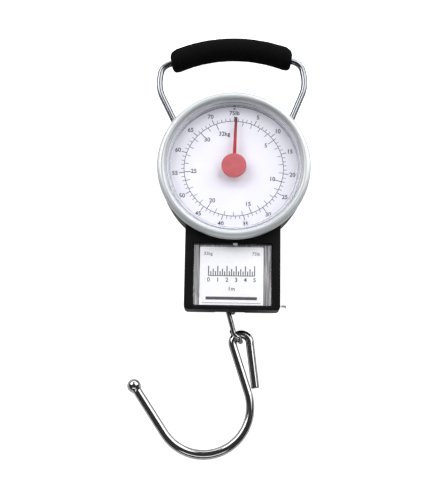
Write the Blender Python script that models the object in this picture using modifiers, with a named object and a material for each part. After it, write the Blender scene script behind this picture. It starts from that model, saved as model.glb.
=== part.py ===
"""A mechanical dial scale for weighing fish, lying on its back.

The dial faces +Z, the handle points to +Y and the load hook to -Y. The origin is on the flat
back of the case, under the middle of the dial. All lengths are in metres.

A load on the hook pulls the draw bar towards -Y against two extension springs. The rack on the
draw bar turns the pinion, and with it the pointer: one full turn for the full load. The lower
half of the case holds a tape measure that is pulled out to the right.
"""

import math

import bmesh
import bpy
from mathutils import Matrix, Vector

GAP = 0.0003  # clearance between pieces that touch
ROUND = 48  # sides of a large round piece
SMALL_ROUND = 20  # sides of a small round piece

# Case
DRUM_RADIUS = 0.0374
DRUM_BACK_RADIUS = 0.0340
WALL = 0.0013
FLOOR = 0.0020
SPLIT_Z = 0.0110  # the back cover ends here, and the front housing starts
FACE_Z = 0.0223  # front face of the black housing
BODY_HALF_WIDTH = 0.0238
BODY_BOTTOM_Y = -0.0733
BODY_TOP_Y = -0.0300
BODY_SIDE_LEAN = 0.0011  # how far the back cover's sides lean in at the back
BODY_FOOT_LEANS = (0.0007, 0.0029)  # how far the bottom wall leans in at the split and at the back
BODY_CORNER = 0.0020

# Dial, bezel and lens
BEZEL_RADIUS = 0.0388
BEZEL_INNER_RADIUS = 0.0345
BEZEL_FRONT_Z = 0.0285
BEZEL_SKIRT_INNER_RADIUS = 0.0352
LENS_RADIUS = 0.0341
LENS_FRONT_Z = 0.0273
LENS_FOOT_RADIUS = 0.0349
DIAL_RADIUS = 0.0346
DIAL_Z = 0.0197
DIAL_THICKNESS = 0.0008
SHELF_Z = 0.0179
SHELF_THICKNESS = 0.0015

# Movement
PINION_TEETH = 10
PITCH_RADIUS = 0.0030
TOOTH_ADDENDUM = 0.00045
TOOTH_DEDENDUM = 0.00065
TOOTH_HALF_THICKNESS = 0.00036
PRESSURE_ANGLE = math.radians(25)
SPINDLE_RADIUS = 0.0010
BRIDGE_Z = 0.0134
BRIDGE_THICKNESS = 0.0012
BRIDGE_SCREW_X = 0.0315
HUB_RADIUS = 0.0063
HUB_FRONT_Z = 0.0258
NEEDLE_LENGTH = 0.0262
NEEDLE_Z = 0.0236

# Load train
PLATE_Z = 0.0066  # underside of the draw bar and the hanger plate
PLATE_THICKNESS = 0.0016
RACK_Z = PLATE_Z + PLATE_THICKNESS + GAP
RACK_THICKNESS = 0.0023
CROSS_BAR_Y = (-0.0240, -0.0170)
CROSS_BAR_HALF_WIDTH = 0.0175
TONGUE_X = -0.0015
TONGUE_HALF_WIDTH = 0.0042
EYE_HOLE_Y = -0.0672
EYE_HOLE_RADIUS = 0.0019
SPRING_X = 0.0130
SPRING_Z = 0.0090
SPRING_RADIUS = 0.0029
SPRING_WIRE = 0.0005
SPRING_TURNS = 9
SPRING_COIL_Y = 0.0115
SPRING_TOP_Y = 0.0180
SPRING_BOTTOM_Y = -0.0205
SPRING_HOLE_RADIUS = 0.0012
POST_PLACES = ((-0.0095, 0.0240), (0.0095, 0.0240))
CASE_SCREWS = ((-0.0080, 0.0300), (0.0080, 0.0300), (-0.0185, -0.0640), (0.0185, -0.0640))
BOSS_RADIUS = 0.0026
SCREW_RADIUS = 0.0011

# Handle
HANDLE_Z = 0.0102
HANDLE_WIRE = 0.00165
HANDLE_LEAN = math.radians(2.1)  # the handle sits loosely and leans to the left
HANDLE_LEAN_Y = 0.0140
GRIP_RADIUS = 0.0061
GRIP_ARC_RADIUS = 0.0740
GRIP_TOP_Y = 0.0693
GRIP_HALF_ANGLE = math.radians(24.0)
HANDLE_END = (0.0252, 0.0176)
HANDLE_KNEE = (0.0388, 0.0482)
HANDLE_SHOULDER = (0.0369, 0.0600)

# Link and hook
LINK_WIRE = 0.0012
LINK_DIRECTION = math.radians(18)
UPPER_EYE_RADIUS = 0.0034
LOWER_EYE_RADIUS = 0.0037
EYE_PITCH = 0.0036
LOWER_EYE_Z = LOWER_EYE_RADIUS + LINK_WIRE
HOOK_WIRE = 0.0021  # radius on the loop and the shank
HOOK_BEND_WIRE = 0.0025  # radius at the bottom of the bend
HOOK_ARM_WIRE = 0.0023  # radius under the ball
HOOK_LOOP = (0.0051, -0.0869)
HOOK_LOOP_RADIUS = 0.0044
LOWER_EYE_ANGLE = math.radians(132)  # where on the hook's loop the link's lower eye hangs
HOOK_BEND = (-0.0133, -0.1192)
HOOK_BEND_RADIUS = 0.0232
HOOK_TIP = (-0.0481, -0.1091)
HOOK_BALL_RADIUS = 0.0035
HOOK_RETURN_END = (0.0124, -0.1094)

# Tape measure
TRAY_Z = 0.0126
TRAY_THICKNESS = 0.0010
LID_Z = 0.0196
LID_THICKNESS = 0.0006
REEL_Y = -0.0572
REEL_CORE_RADIUS = 0.0074
REEL_FLANGE_RADIUS = 0.0132
COIL_INNER_RADIUS = 0.0077
COIL_RADIUS = 0.0127
TAPE_Z = (0.0146, 0.0192)
TAPE_THICKNESS = 0.0003
TAPE_Y = REEL_Y - COIL_RADIUS - GAP - TAPE_THICKNESS / 2
WINDOW_HALF_WIDTH = 0.0192
WINDOW_Y = (-0.0710, -0.0401)
WINDOW_Z = (0.0209, 0.0223)
LABEL_X = (-0.0162, 0.0154)
LABEL_Y = (-0.0707, -0.0413)
LABEL_Z = (0.0204, 0.0206)


def clear_scene():
    for obj in list(bpy.data.objects):
        bpy.data.objects.remove(obj, do_unlink=True)


def new_collection(name):
    made = bpy.data.collections.new(name)
    bpy.context.scene.collection.children.link(made)
    return made


clear_scene()
PARTS = new_collection("dial_scale")
CUTTERS = new_collection("cutters")


# ---------------------------------------------------------------- materials


def material(name, colour, roughness, metallic=0.0, transmission=0.0):
    made = bpy.data.materials.new(name)
    made.use_nodes = True
    shader = made.node_tree.nodes["Principled BSDF"]
    shader.inputs["Base Color"].default_value = (*colour, 1.0)
    shader.inputs["Roughness"].default_value = roughness
    shader.inputs["Metallic"].default_value = metallic
    shader.inputs["Transmission Weight"].default_value = transmission
    return made


BLACK_PLASTIC = material("black_plastic", (0.015, 0.015, 0.017), 0.30)
SILVER_PAINT = material("silver_paint", (0.55, 0.56, 0.58), 0.28, 0.6)
CLEAR_PLASTIC = material("clear_plastic", (0.93, 0.95, 0.96), 0.05, 0.0, 1.0)
DIAL_WHITE = material("dial_white", (0.86, 0.86, 0.90), 0.45)
POINTER_RED = material("pointer_red", (0.55, 0.05, 0.05), 0.45)
NEEDLE_RED = material("needle_red", (0.40, 0.02, 0.02), 0.45)
CHROME = material("chrome_steel", (0.62, 0.62, 0.64), 0.12, 1.0)
SPRING_STEEL = material("spring_steel", (0.40, 0.41, 0.43), 0.30, 1.0)
ZINC_STEEL = material("zinc_steel", (0.58, 0.59, 0.62), 0.35, 1.0)
BRASS = material("brass", (0.72, 0.53, 0.22), 0.30, 1.0)
BLACK_FOAM = material("black_foam", (0.018, 0.018, 0.019), 0.85)
GREY_PLASTIC = material("grey_plastic", (0.32, 0.33, 0.35), 0.45)
WHITE_CARD = material("white_card", (0.88, 0.88, 0.90), 0.60)
TAPE_WHITE = material("tape_white", (0.82, 0.82, 0.78), 0.45)


# ---------------------------------------------------------------- modelling helpers


def add(name, mesh, cutter=False):
    obj = bpy.data.objects.new(name, mesh)
    (CUTTERS if cutter else PARTS).objects.link(obj)
    if cutter:
        obj.hide_render = True
        obj.display_type = "WIRE"
    return obj


def from_bmesh(name, bm, cutter=False):
    bmesh.ops.recalc_face_normals(bm, faces=bm.faces)
    mesh = bpy.data.meshes.new(name)
    bm.to_mesh(mesh)
    bm.free()
    return add(name, mesh, cutter)


def realised(obj, cutter=False):
    """The object's evaluated shape as a plain closed mesh, with its caps welded on."""
    graph = bpy.context.evaluated_depsgraph_get()
    mesh = bpy.data.meshes.new_from_object(obj.evaluated_get(graph))
    name, place = obj.name, obj.matrix_world.copy()
    bpy.data.objects.remove(obj, do_unlink=True)
    bm = bmesh.new()
    bm.from_mesh(mesh)
    bpy.data.meshes.remove(mesh)
    bmesh.ops.remove_doubles(bm, verts=bm.verts, dist=1e-6)
    made = from_bmesh(name, bm, cutter)
    made.matrix_world = place
    return made


def box(name, low, high, corner=0.0, segments=2, cutter=False):
    """A box between two corners, with its upright edges rounded to the radius `corner`."""
    low, high = Vector(low), Vector(high)
    bm = bmesh.new()
    bmesh.ops.create_cube(bm, size=1.0)
    bmesh.ops.scale(bm, vec=high - low, verts=bm.verts)
    bmesh.ops.translate(bm, vec=(low + high) / 2, verts=bm.verts)
    if corner:
        upright = [e for e in bm.edges if abs(e.verts[0].co.z - e.verts[1].co.z) > 1e-6]
        bmesh.ops.bevel(bm, geom=upright, offset=corner, segments=segments, affect="EDGES", profile=0.5)
    return from_bmesh(name, bm, cutter)


def cylinder(name, place, radius, z_range, sides=SMALL_ROUND, cutter=False, top_radius=None):
    """An upright cylinder or cone at (x, y), from z_range[0] to z_range[1]."""
    low, high = z_range
    bm = bmesh.new()
    middle = Matrix.Translation((place[0], place[1], (low + high) / 2))
    bmesh.ops.create_cone(
        bm,
        cap_ends=True,
        segments=sides,
        radius1=radius,
        radius2=radius if top_radius is None else top_radius,
        depth=high - low,
        matrix=middle,
    )
    return from_bmesh(name, bm, cutter)


def turned(name, profile, sides=ROUND, closed=False, cutter=False, place=(0.0, 0.0)):
    """A turned piece: the profile's (radius, z) points, from the top down its outer side."""
    mesh = bpy.data.meshes.new(name)
    points = [(r, 0.0, z) for r, z in profile]
    edges = [(i, i + 1) for i in range(len(points) - 1)]
    if closed:
        edges.append((len(points) - 1, 0))
    mesh.from_pydata(points, edges, [])
    obj = add(name, mesh, cutter)
    screw = obj.modifiers.new("turn", "SCREW")
    screw.steps = sides
    screw.render_steps = sides
    screw.use_merge_vertices = True
    screw.merge_threshold = 1e-6
    obj.location = (place[0], place[1], 0.0)
    bpy.context.view_layer.update()
    return realised(obj, cutter)


def new_curve(name, points, cyclic, flat=False):
    curve = bpy.data.curves.new(name, "CURVE")
    curve.dimensions = "2D" if flat else "3D"
    spline = curve.splines.new("POLY")
    spline.points.add(len(points) - 1)
    for spot, point in zip(spline.points, points):
        spot.co = (point[0], point[1], 0.0 if flat else point[2], 1.0)
    spline.use_cyclic_u = cyclic
    return curve


def wire(name, points, radius, cutter=False, swell=None):
    """A round wire along the points, with flat ends. swell multiplies the radius at each point."""
    curve = new_curve(name, points, cyclic=False)
    for spot, factor in zip(curve.splines[0].points, swell or []):
        spot.radius = factor
    curve.bevel_depth = radius
    curve.bevel_resolution = 2
    curve.use_fill_caps = True
    obj = add(name, curve, cutter)
    bpy.context.view_layer.update()
    return realised(obj, cutter)


def plate(name, outline, z_range, cutter=False):
    """A flat plate with the given outline, between two heights."""
    low, high = z_range
    curve = new_curve(name, outline, cyclic=True, flat=True)
    curve.fill_mode = "BOTH"
    curve.extrude = (high - low) / 2
    obj = add(name, curve, cutter)
    obj.location.z = (low + high) / 2
    bpy.context.view_layer.update()
    return realised(obj, cutter)


def combine(target, others, operation, solver="EXACT"):
    for other in others:
        if other.name not in CUTTERS.objects:
            PARTS.objects.unlink(other)
            CUTTERS.objects.link(other)
            other.hide_render = True
            other.display_type = "WIRE"
        step = target.modifiers.new(other.name, "BOOLEAN")
        step.operation = operation
        step.object = other
        step.solver = solver


def cut(target, *others):
    combine(target, others, "DIFFERENCE")


def join(target, *others):
    combine(target, others, "UNION")


def finish(obj, surface, smooth=True):
    obj.data.materials.clear()
    obj.data.materials.append(surface)
    if smooth:
        obj.data.shade_smooth()
        obj.data.set_sharp_from_angle(angle=math.radians(35))
    return obj


def axis_empty(name, place, pieces):
    """An empty on a joint's axis, which carries the pieces that move with the joint."""
    empty = bpy.data.objects.new(name, None)
    empty.location = place
    empty.empty_display_size = 0.01
    PARTS.objects.link(empty)
    for piece in pieces:
        piece.parent = empty
        piece.matrix_parent_inverse = Matrix.Translation(-Vector(place))
    return empty


def arc(centre, radius, start, end, steps):
    """Points on a circle from one angle to another, in degrees."""
    found = []
    for i in range(steps + 1):
        angle = math.radians(start + (end - start) * i / steps)
        found.append((centre[0] + radius * math.cos(angle), centre[1] + radius * math.sin(angle)))
    return found


def rounded_corner(before, corner, after, radius, steps):
    """Points on the arc that rounds the corner between two straight runs."""
    corner = Vector(corner)
    first = (Vector(before) - corner).normalized()
    second = (Vector(after) - corner).normalized()
    half = first.angle(second) / 2
    centre = corner + (first + second).normalized() * radius / math.sin(half)
    start = corner + first * radius / math.tan(half) - centre
    turn = start.angle_signed(corner + second * radius / math.tan(half) - centre)
    found = []
    for i in range(steps + 1):
        found.append(tuple(centre + Matrix.Rotation(-turn * i / steps, 2) @ start))
    return found


# ---------------------------------------------------------------- case


def body_block(name, z_range, side_lean, foot_leans, cutter=False):
    """The lower half of the case, with a rounded outline that leans in towards the back.

    side_lean is how far the sides lean in at the back, and foot_leans how far the bottom wall
    has leaned in at the back and at the front.
    """
    low = (-BODY_HALF_WIDTH, BODY_BOTTOM_Y, z_range[0])
    high = (BODY_HALF_WIDTH, BODY_TOP_Y, z_range[1])
    block = box(name, low, high, BODY_CORNER, 3, cutter)
    for vertex in block.data.vertices:
        at_back = vertex.co.z < z_range[0] + 1e-6
        if at_back:
            vertex.co.x *= 1 - side_lean / BODY_HALF_WIDTH
        if vertex.co.y < BODY_TOP_Y - 0.01:
            vertex.co.y += foot_leans[0] if at_back else foot_leans[1]
    return block


def make_back_cover():
    profile = (
        (0.0, SPLIT_Z),
        (DRUM_RADIUS, SPLIT_Z),
        (DRUM_RADIUS - 0.0009, 0.0032),
        (DRUM_RADIUS - 0.0017, 0.0009),
        (DRUM_BACK_RADIUS, 0.0),
        (0.0, 0.0),
    )
    cover = turned("back_cover", profile)
    leans = (BODY_FOOT_LEANS[1], BODY_FOOT_LEANS[0])
    join(cover, body_block("cover_body", (0.0, SPLIT_Z), BODY_SIDE_LEAN, leans, True))
    inside = cylinder("cover_hollow", (0, 0), 0.0348, (FLOOR, SPLIT_Z + 0.001), ROUND, True)
    inside_body = box(
        "cover_body_hollow",
        (-0.0212, BODY_BOTTOM_Y + 0.0040, FLOOR),
        (0.0212, BODY_TOP_Y + 0.001, SPLIT_Z + 0.001),
        cutter=True,
    )
    cut(cover, inside, inside_body)
    for i, place in enumerate(CASE_SCREWS):
        join(cover, cylinder(f"cover_boss_{i}", place, BOSS_RADIUS, (0.001, SPLIT_Z - 0.0003), cutter=True))
    for i, place in enumerate(POST_PLACES):
        join(cover, cylinder(f"cover_post_{i}", place, 0.0016, (0.001, 0.0106), 12, True))
    join(cover, cylinder("spindle_seat", (0, 0), 0.0030, (0.001, 0.0048), cutter=True))
    cut(cover, cylinder("spindle_seat_hole", (0, 0), SPINDLE_RADIUS + GAP, (0.0021, 0.006), cutter=True))
    for i, place in enumerate(CASE_SCREWS):
        head = cylinder(f"cover_screw_head_{i}", place, 0.0027, (-0.001, 0.0017), cutter=True)
        hole = cylinder(f"cover_screw_hole_{i}", place, SCREW_RADIUS + GAP, (0.0012, 0.012), cutter=True)
        cut(cover, head, hole)
    cut(cover, link_slot("cover_link_slot"))
    for side in (-1, 1):
        cut(cover, handle_notch(f"cover_handle_notch_{side + 1}", side))
    return finish(cover, BLACK_PLASTIC)


def link_slot(name):
    """The slot in the bottom wall, where the link's upper eye comes out."""
    return box(name, (-0.0085, -0.0750, 0.0026), (0.0065, -0.0685, TRAY_Z - 0.0001), cutter=True)


def handle_notch(name, side):
    """The notch in the drum's wall where one leg of the handle goes in."""
    low = (-0.0029, -0.0080, HANDLE_Z - 0.0021)
    high = (0.0029, 0.0060, HANDLE_Z + 0.0021)
    notch = box(name, low, high, cutter=True)
    notch.location = (side * 0.0282, 0.0256, 0.0)
    notch.rotation_euler.z = math.radians(-24 * side)
    return notch


def make_front_housing():
    low, high = SPLIT_Z + GAP, FACE_Z
    housing = cylinder("front_housing", (0, 0), DRUM_RADIUS, (low, high), ROUND)
    join(housing, body_block("housing_body", (low, high), 0.0, (BODY_FOOT_LEANS[0], 0.0), True))
    drum_hollow = cylinder("housing_hollow", (0, 0), DRUM_RADIUS - WALL, (0.0, high + 0.001), ROUND, True)
    tape_hollow = box("tape_hollow", (-0.0220, -0.0715, 0.0), (0.0220, -0.0320, 0.0204), cutter=True)
    cut(tape_hollow, cylinder("tape_hollow_limit", (0, 0), DRUM_RADIUS, (-0.001, 0.03), ROUND, True))
    cut(housing, drum_hollow, tape_hollow)
    shelf = (
        (DRUM_RADIUS - 0.0009, SHELF_Z + SHELF_THICKNESS),
        (DRUM_RADIUS - 0.0009, SHELF_Z),
        (0.0310, SHELF_Z),
        (0.0310, SHELF_Z + SHELF_THICKNESS),
    )
    join(housing, turned("housing_shelf", shelf, closed=True, cutter=True))
    for i, place in enumerate(CASE_SCREWS):
        top = SHELF_Z + 0.0010 if place[1] > 0 else 0.0210
        join(housing, cylinder(f"housing_boss_{i}", place, BOSS_RADIUS, (low, top), cutter=True))
    for side in (-1, 1):
        place = (side * BRIDGE_SCREW_X, 0.0)
        bottom = BRIDGE_Z + BRIDGE_THICKNESS + GAP
        top = SHELF_Z + 0.0010
        join(housing, cylinder(f"bridge_boss_{side + 1}", place, BOSS_RADIUS, (bottom, top), cutter=True))
        cut(housing, cylinder(f"bridge_hole_{side + 1}", place, 0.0013, (0.0, 0.0185), 12, True))
    for i, place in enumerate(CASE_SCREWS):
        cut(housing, cylinder(f"housing_hole_{i}", place, SCREW_RADIUS + GAP, (0.0, 0.0160), 12, True))
    window_low = (-WINDOW_HALF_WIDTH - GAP, WINDOW_Y[0] - GAP, 0.0195)
    window_high = (WINDOW_HALF_WIDTH + GAP, WINDOW_Y[1] + GAP, 0.0300)
    cut(housing, box("window_opening", window_low, window_high, cutter=True))
    slot_low = (0.0200, TAPE_Y - 0.0008, TAPE_Z[0] - 0.0006)
    slot_high = (0.0260, TAPE_Y + 0.0008, TAPE_Z[1] + 0.0006)
    cut(housing, box("tape_slot", slot_low, slot_high, cutter=True))
    cut(housing, link_slot("housing_link_slot"))
    for side in (-1, 1):
        cut(housing, handle_notch(f"housing_handle_notch_{side + 1}", side))
    return finish(housing, BLACK_PLASTIC)


def make_screw(name, place, head_z, length, radius, head_radius, head_height, up=1):
    """A pan-head screw whose shank points up or down from its head's outer face."""
    profile = (
        (0.0, head_z + up * length),
        (radius, head_z + up * length),
        (radius, head_z + up * head_height),
        (head_radius, head_z + up * head_height),
        (head_radius * 0.9, head_z),
        (0.0, head_z),
    )
    screw = turned(name, profile, 12, place=place)
    low, high = sorted((head_z - up * 0.0005, head_z + up * head_height * 0.45))
    slot_low = (place[0] - head_radius * 1.2, place[1] - 0.00025, low)
    slot_high = (place[0] + head_radius * 1.2, place[1] + 0.00025, high)
    cut(screw, box(f"{name}_slot", slot_low, slot_high, cutter=True))
    return finish(screw, ZINC_STEEL)


def make_case_screws():
    for i, place in enumerate(CASE_SCREWS):
        make_screw(f"case_screw_{i + 1}", place, 0.0003, 0.0148, SCREW_RADIUS, 0.0024, 0.0011)


# ---------------------------------------------------------------- dial, bezel, lens


def make_bezel():
    inner = BEZEL_INNER_RADIUS
    profile = [
        (inner + 0.0026, BEZEL_FRONT_Z),
        (inner + 0.0034, 0.0281),
        (inner + 0.0040, 0.0273),
        (BEZEL_RADIUS, 0.0262),
        (BEZEL_RADIUS, 0.0229),
        (BEZEL_RADIUS - 0.0003, FACE_Z + GAP),
        (DRUM_RADIUS - WALL - GAP, FACE_Z + GAP),
        (DRUM_RADIUS - WALL - GAP, DIAL_Z + 0.0004),
        (BEZEL_SKIRT_INNER_RADIUS, DIAL_Z + 0.0004),
        (BEZEL_SKIRT_INNER_RADIUS, FACE_Z + GAP),
        (inner, FACE_Z + GAP),
        (inner, 0.0262),
        (inner + 0.0008, 0.0276),
        (inner + 0.0018, 0.0283),
    ]
    return finish(turned("bezel_ring", profile, closed=True), SILVER_PAINT)


def make_lens():
    """A clear cup: a flat front, a rounded edge, and a wall with a foot under the bezel."""
    wall = 0.0016
    radius = LENS_RADIUS
    profile = (
        (0.0, LENS_FRONT_Z),
        (radius - 0.0022, LENS_FRONT_Z),
        (radius - 0.0008, LENS_FRONT_Z - 0.0005),
        (radius, LENS_FRONT_Z - 0.0020),
        (radius, 0.0222),
        (LENS_FOOT_RADIUS, 0.0222),
        (LENS_FOOT_RADIUS, 0.0213),
        (radius - wall, 0.0213),
        (radius - wall, LENS_FRONT_Z - 0.0024),
        (radius - wall - 0.0012, LENS_FRONT_Z - 0.0013),
        (0.0, LENS_FRONT_Z - 0.0013),
    )
    return finish(turned("lens", profile), CLEAR_PLASTIC)


def make_dial():
    dial = cylinder("dial_plate", (0, 0), DIAL_RADIUS, (DIAL_Z, DIAL_Z + DIAL_THICKNESS), ROUND)
    cut(dial, cylinder("dial_hole", (0, 0), 0.0026, (0.01, 0.03), cutter=True))
    return finish(dial, DIAL_WHITE)


# ---------------------------------------------------------------- pointer and movement


def make_spindle():
    spindle = cylinder("spindle", (0, 0), SPINDLE_RADIUS, (0.0024, 0.0246), 16)
    return finish(spindle, ZINC_STEEL)


def tooth_half_angle(radius):
    """Half the angle that a pinion tooth takes up at a radius, for straight flanks."""
    half = TOOTH_HALF_THICKNESS - (radius - PITCH_RADIUS) * math.tan(PRESSURE_ANGLE)
    return math.atan2(half, radius)


def make_pinion():
    root = PITCH_RADIUS - TOOTH_DEDENDUM
    tip = PITCH_RADIUS + TOOTH_ADDENDUM
    step = 2 * math.pi / PINION_TEETH
    outline = []
    for tooth in range(PINION_TEETH):
        middle = (tooth + 0.5) * step
        for radius, side in ((root, -1), (tip, -1), (tip, 1), (root, 1)):
            angle = middle + side * tooth_half_angle(radius)
            outline.append((radius * math.cos(angle), radius * math.sin(angle)))
    pinion = plate("pinion", outline, (RACK_Z + 0.0002, RACK_Z + RACK_THICKNESS - 0.0002))
    cut(pinion, cylinder("pinion_bore", (0, 0), SPINDLE_RADIUS + GAP, (0.0, 0.03), 16, True))
    return finish(pinion, BRASS, smooth=False)


def make_hub():
    stem = 0.0020
    profile = (
        (0.0, HUB_FRONT_Z),
        (HUB_RADIUS - 0.0008, HUB_FRONT_Z),
        (HUB_RADIUS, HUB_FRONT_Z - 0.0005),
        (HUB_RADIUS, NEEDLE_Z + 0.0010),
        (stem, NEEDLE_Z + 0.0010),
        (stem, DIAL_Z + DIAL_THICKNESS + 0.0006),
        (0.0, DIAL_Z + DIAL_THICKNESS + 0.0006),
    )
    hub = turned("pointer_hub", profile, 40)
    cut(hub, cylinder("hub_bore", (0, 0), SPINDLE_RADIUS + GAP, (0.0, 0.0249), 16, True))
    return finish(hub, POINTER_RED)


def make_needle():
    """A thin bar with a ring round the hub's stem, pointing to the dial's zero at +Y."""
    ring = cylinder("needle", (0, 0), 0.0048, (NEEDLE_Z, NEEDLE_Z + 0.0007), 24)
    bar = plate(
        "needle_bar",
        ((-0.0009, 0.0), (0.0009, 0.0), (0.0005, NEEDLE_LENGTH), (-0.0005, NEEDLE_LENGTH)),
        (NEEDLE_Z, NEEDLE_Z + 0.0007),
        True,
    )
    join(ring, bar)
    cut(ring, cylinder("needle_bore", (0, 0), 0.0020 + GAP, (0.0, 0.03), 16, True))
    return finish(ring, NEEDLE_RED)


def make_bridge():
    half_width = 0.0050
    low, high = BRIDGE_Z, BRIDGE_Z + BRIDGE_THICKNESS
    bridge = box("bridge_plate", (-0.0343, -half_width, low), (0.0343, half_width, high), 0.0030)
    cut(bridge, cylinder("bridge_bore", (0, 0), 0.0026, (0.0, 0.03), cutter=True))
    for side in (-1, 1):
        place = (side * BRIDGE_SCREW_X, 0.0)
        cut(bridge, cylinder(f"bridge_screw_hole_{side + 1}", place, 0.0013, (0.0, 0.03), 12, True))
        name = f"bridge_screw_{1 if side < 0 else 2}"
        make_screw(name, place, low - 0.0013, 0.0060, 0.0010, 0.0019, 0.0010)
    return finish(bridge, ZINC_STEEL)


def make_bush():
    low, high = BRIDGE_Z - 0.0004, BRIDGE_Z + BRIDGE_THICKNESS + 0.0004
    bush = cylinder("spindle_bush", (0, 0), 0.0023, (low, high))
    cut(bush, cylinder("bush_bore", (0, 0), SPINDLE_RADIUS + GAP, (0.0, 0.03), 16, True))
    return finish(bush, BRASS)


# ---------------------------------------------------------------- load train


def make_draw_bar():
    """A T-shaped steel plate: the springs hang on its cross bar, the link in its tongue."""
    low_y, high_y = CROSS_BAR_Y
    wide = CROSS_BAR_HALF_WIDTH
    left, right = TONGUE_X - TONGUE_HALF_WIDTH, TONGUE_X + TONGUE_HALF_WIDTH
    outline = [(right, low_y), (wide, low_y), (wide, high_y)]
    outline += [(-wide, high_y), (-wide, low_y), (left, low_y)]
    outline += arc((TONGUE_X, EYE_HOLE_Y), TONGUE_HALF_WIDTH, 180, 360, 12)
    bar = plate("draw_bar", outline, (PLATE_Z, PLATE_Z + PLATE_THICKNESS))
    eye = (TONGUE_X, EYE_HOLE_Y)
    holes = [cylinder("tongue_hole", eye, EYE_HOLE_RADIUS, (0.0, 0.03), cutter=True)]
    for side in (-1, 1):
        place = (side * SPRING_X, SPRING_BOTTOM_Y)
        holes.append(cylinder(f"bar_hole_{side + 1}", place, SPRING_HOLE_RADIUS, (0.0, 0.03), 12, True))
    for i, place in enumerate(rack_screw_places()):
        holes.append(cylinder(f"bar_screw_hole_{i}", place, 0.0011, (0.0, 0.03), 12, True))
    combine(bar, holes, "DIFFERENCE", "MANIFOLD")
    return finish(bar, ZINC_STEEL)


def rack_screw_places():
    middle = sum(CROSS_BAR_Y) / 2
    return ((0.0055, middle - 0.0018), (0.0055, middle + 0.0018))


def make_rack():
    """The toothed bar beside the pinion. A tooth of it points at the spindle."""
    pitch = 2 * math.pi * PITCH_RADIUS / PINION_TEETH
    root = PITCH_RADIUS + TOOTH_DEDENDUM
    tip = PITCH_RADIUS - TOOTH_ADDENDUM
    back = 0.0072
    root_half = TOOTH_HALF_THICKNESS + TOOTH_DEDENDUM * math.tan(PRESSURE_ANGLE)
    tip_half = TOOTH_HALF_THICKNESS - TOOTH_ADDENDUM * math.tan(PRESSURE_ANGLE)
    outline = [(back, CROSS_BAR_Y[0]), (back, 0.0228), (root, 0.0228)]
    for tooth in range(11, -3, -1):
        middle = tooth * pitch
        outline += [
            (root, middle + root_half),
            (tip, middle + tip_half),
            (tip, middle - tip_half),
            (root, middle - root_half),
        ]
    outline.append((root, CROSS_BAR_Y[0]))
    rack = plate("rack", outline, (RACK_Z, RACK_Z + RACK_THICKNESS))
    for i, place in enumerate(rack_screw_places()):
        cut(rack, cylinder(f"rack_screw_hole_{i}", place, 0.0011, (0.0, 0.03), 12, True))
        cut(rack, cylinder(f"rack_screw_sink_{i}", place, 0.0015, (0.0098, 0.03), 12, True))
    return finish(rack, ZINC_STEEL, smooth=False)


def make_rack_screws():
    made = []
    for i, place in enumerate(rack_screw_places()):
        made.append(make_screw(f"rack_screw_{i + 1}", place, 0.0107, 0.0046, 0.0008, 0.0012, 0.0006, up=-1))
    return made


def spring_points(side):
    """The spring's wire: down through the hanger, along the coil, down through the draw bar."""
    x = side * SPRING_X
    low = PLATE_Z - 0.0006
    points = [(x, SPRING_TOP_Y, low), (x, SPRING_TOP_Y, SPRING_Z - 0.0010)]
    points.append((x, SPRING_TOP_Y - 0.0005, SPRING_Z - 0.0002))
    points.append((x, SPRING_TOP_Y - 0.0014, SPRING_Z))
    per_turn = 8
    count = SPRING_TURNS * per_turn
    for i in range(count + 1):
        fade = min(1.0, i / (per_turn / 2), (count - i) / (per_turn / 2))
        angle = 2 * math.pi * i / per_turn
        y = SPRING_COIL_Y - (2 * SPRING_COIL_Y + 0.002) * i / count
        radius = SPRING_RADIUS * fade
        points.append((x + radius * math.sin(angle), y, SPRING_Z + radius * math.cos(angle)))
    points.append((x, SPRING_BOTTOM_Y + 0.0014, SPRING_Z))
    points.append((x, SPRING_BOTTOM_Y + 0.0005, SPRING_Z - 0.0002))
    points += [(x, SPRING_BOTTOM_Y, SPRING_Z - 0.0010), (x, SPRING_BOTTOM_Y, low)]
    return points


def make_springs():
    for name, side in (("main_spring_left", -1), ("main_spring_right", 1)):
        finish(wire(name, spring_points(side), SPRING_WIRE), SPRING_STEEL)


def make_hanger():
    """The steel plate that the handle and both springs hook into."""
    outline = (
        (-0.0292, 0.0148),
        (0.0292, 0.0148),
        (0.0292, 0.0185),
        (0.0225, 0.0262),
        (-0.0225, 0.0262),
        (-0.0292, 0.0185),
    )
    hanger = plate("hanger_plate", outline, (PLATE_Z, PLATE_Z + PLATE_THICKNESS))
    for side in (-1, 1):
        place = (side * SPRING_X, SPRING_TOP_Y)
        hole_name = f"hanger_spring_hole_{side + 1}"
        hole = cylinder(hole_name, place, SPRING_HOLE_RADIUS, (0.0, 0.03), 12, True)
        end = leaned((side * HANDLE_END[0], HANDLE_END[1], 0.0))
        end_hole_radius = HANDLE_WIRE + 0.0004
        end_hole = cylinder(f"hanger_handle_hole_{side + 1}", end, end_hole_radius, (0.0, 0.03), cutter=True)
        cut(hanger, hole, end_hole)
    for i, place in enumerate(POST_PLACES):
        cut(hanger, cylinder(f"hanger_post_hole_{i}", place, 0.0019, (0.0, 0.03), 12, True))
    return finish(hanger, ZINC_STEEL)


# ---------------------------------------------------------------- handle


def leaned(point):
    """The point turned with the handle, which leans a little to the left."""
    pivot = Vector((0.0, HANDLE_LEAN_Y, 0.0))
    return pivot + Matrix.Rotation(HANDLE_LEAN, 3, "Z") @ (Vector(point) - pivot)


def grip_points(half_angle, steps):
    centre = (0.0, GRIP_TOP_Y - GRIP_ARC_RADIUS)
    degrees = math.degrees(half_angle)
    return arc(centre, GRIP_ARC_RADIUS, 90 - degrees, 90 + degrees, steps)


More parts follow.
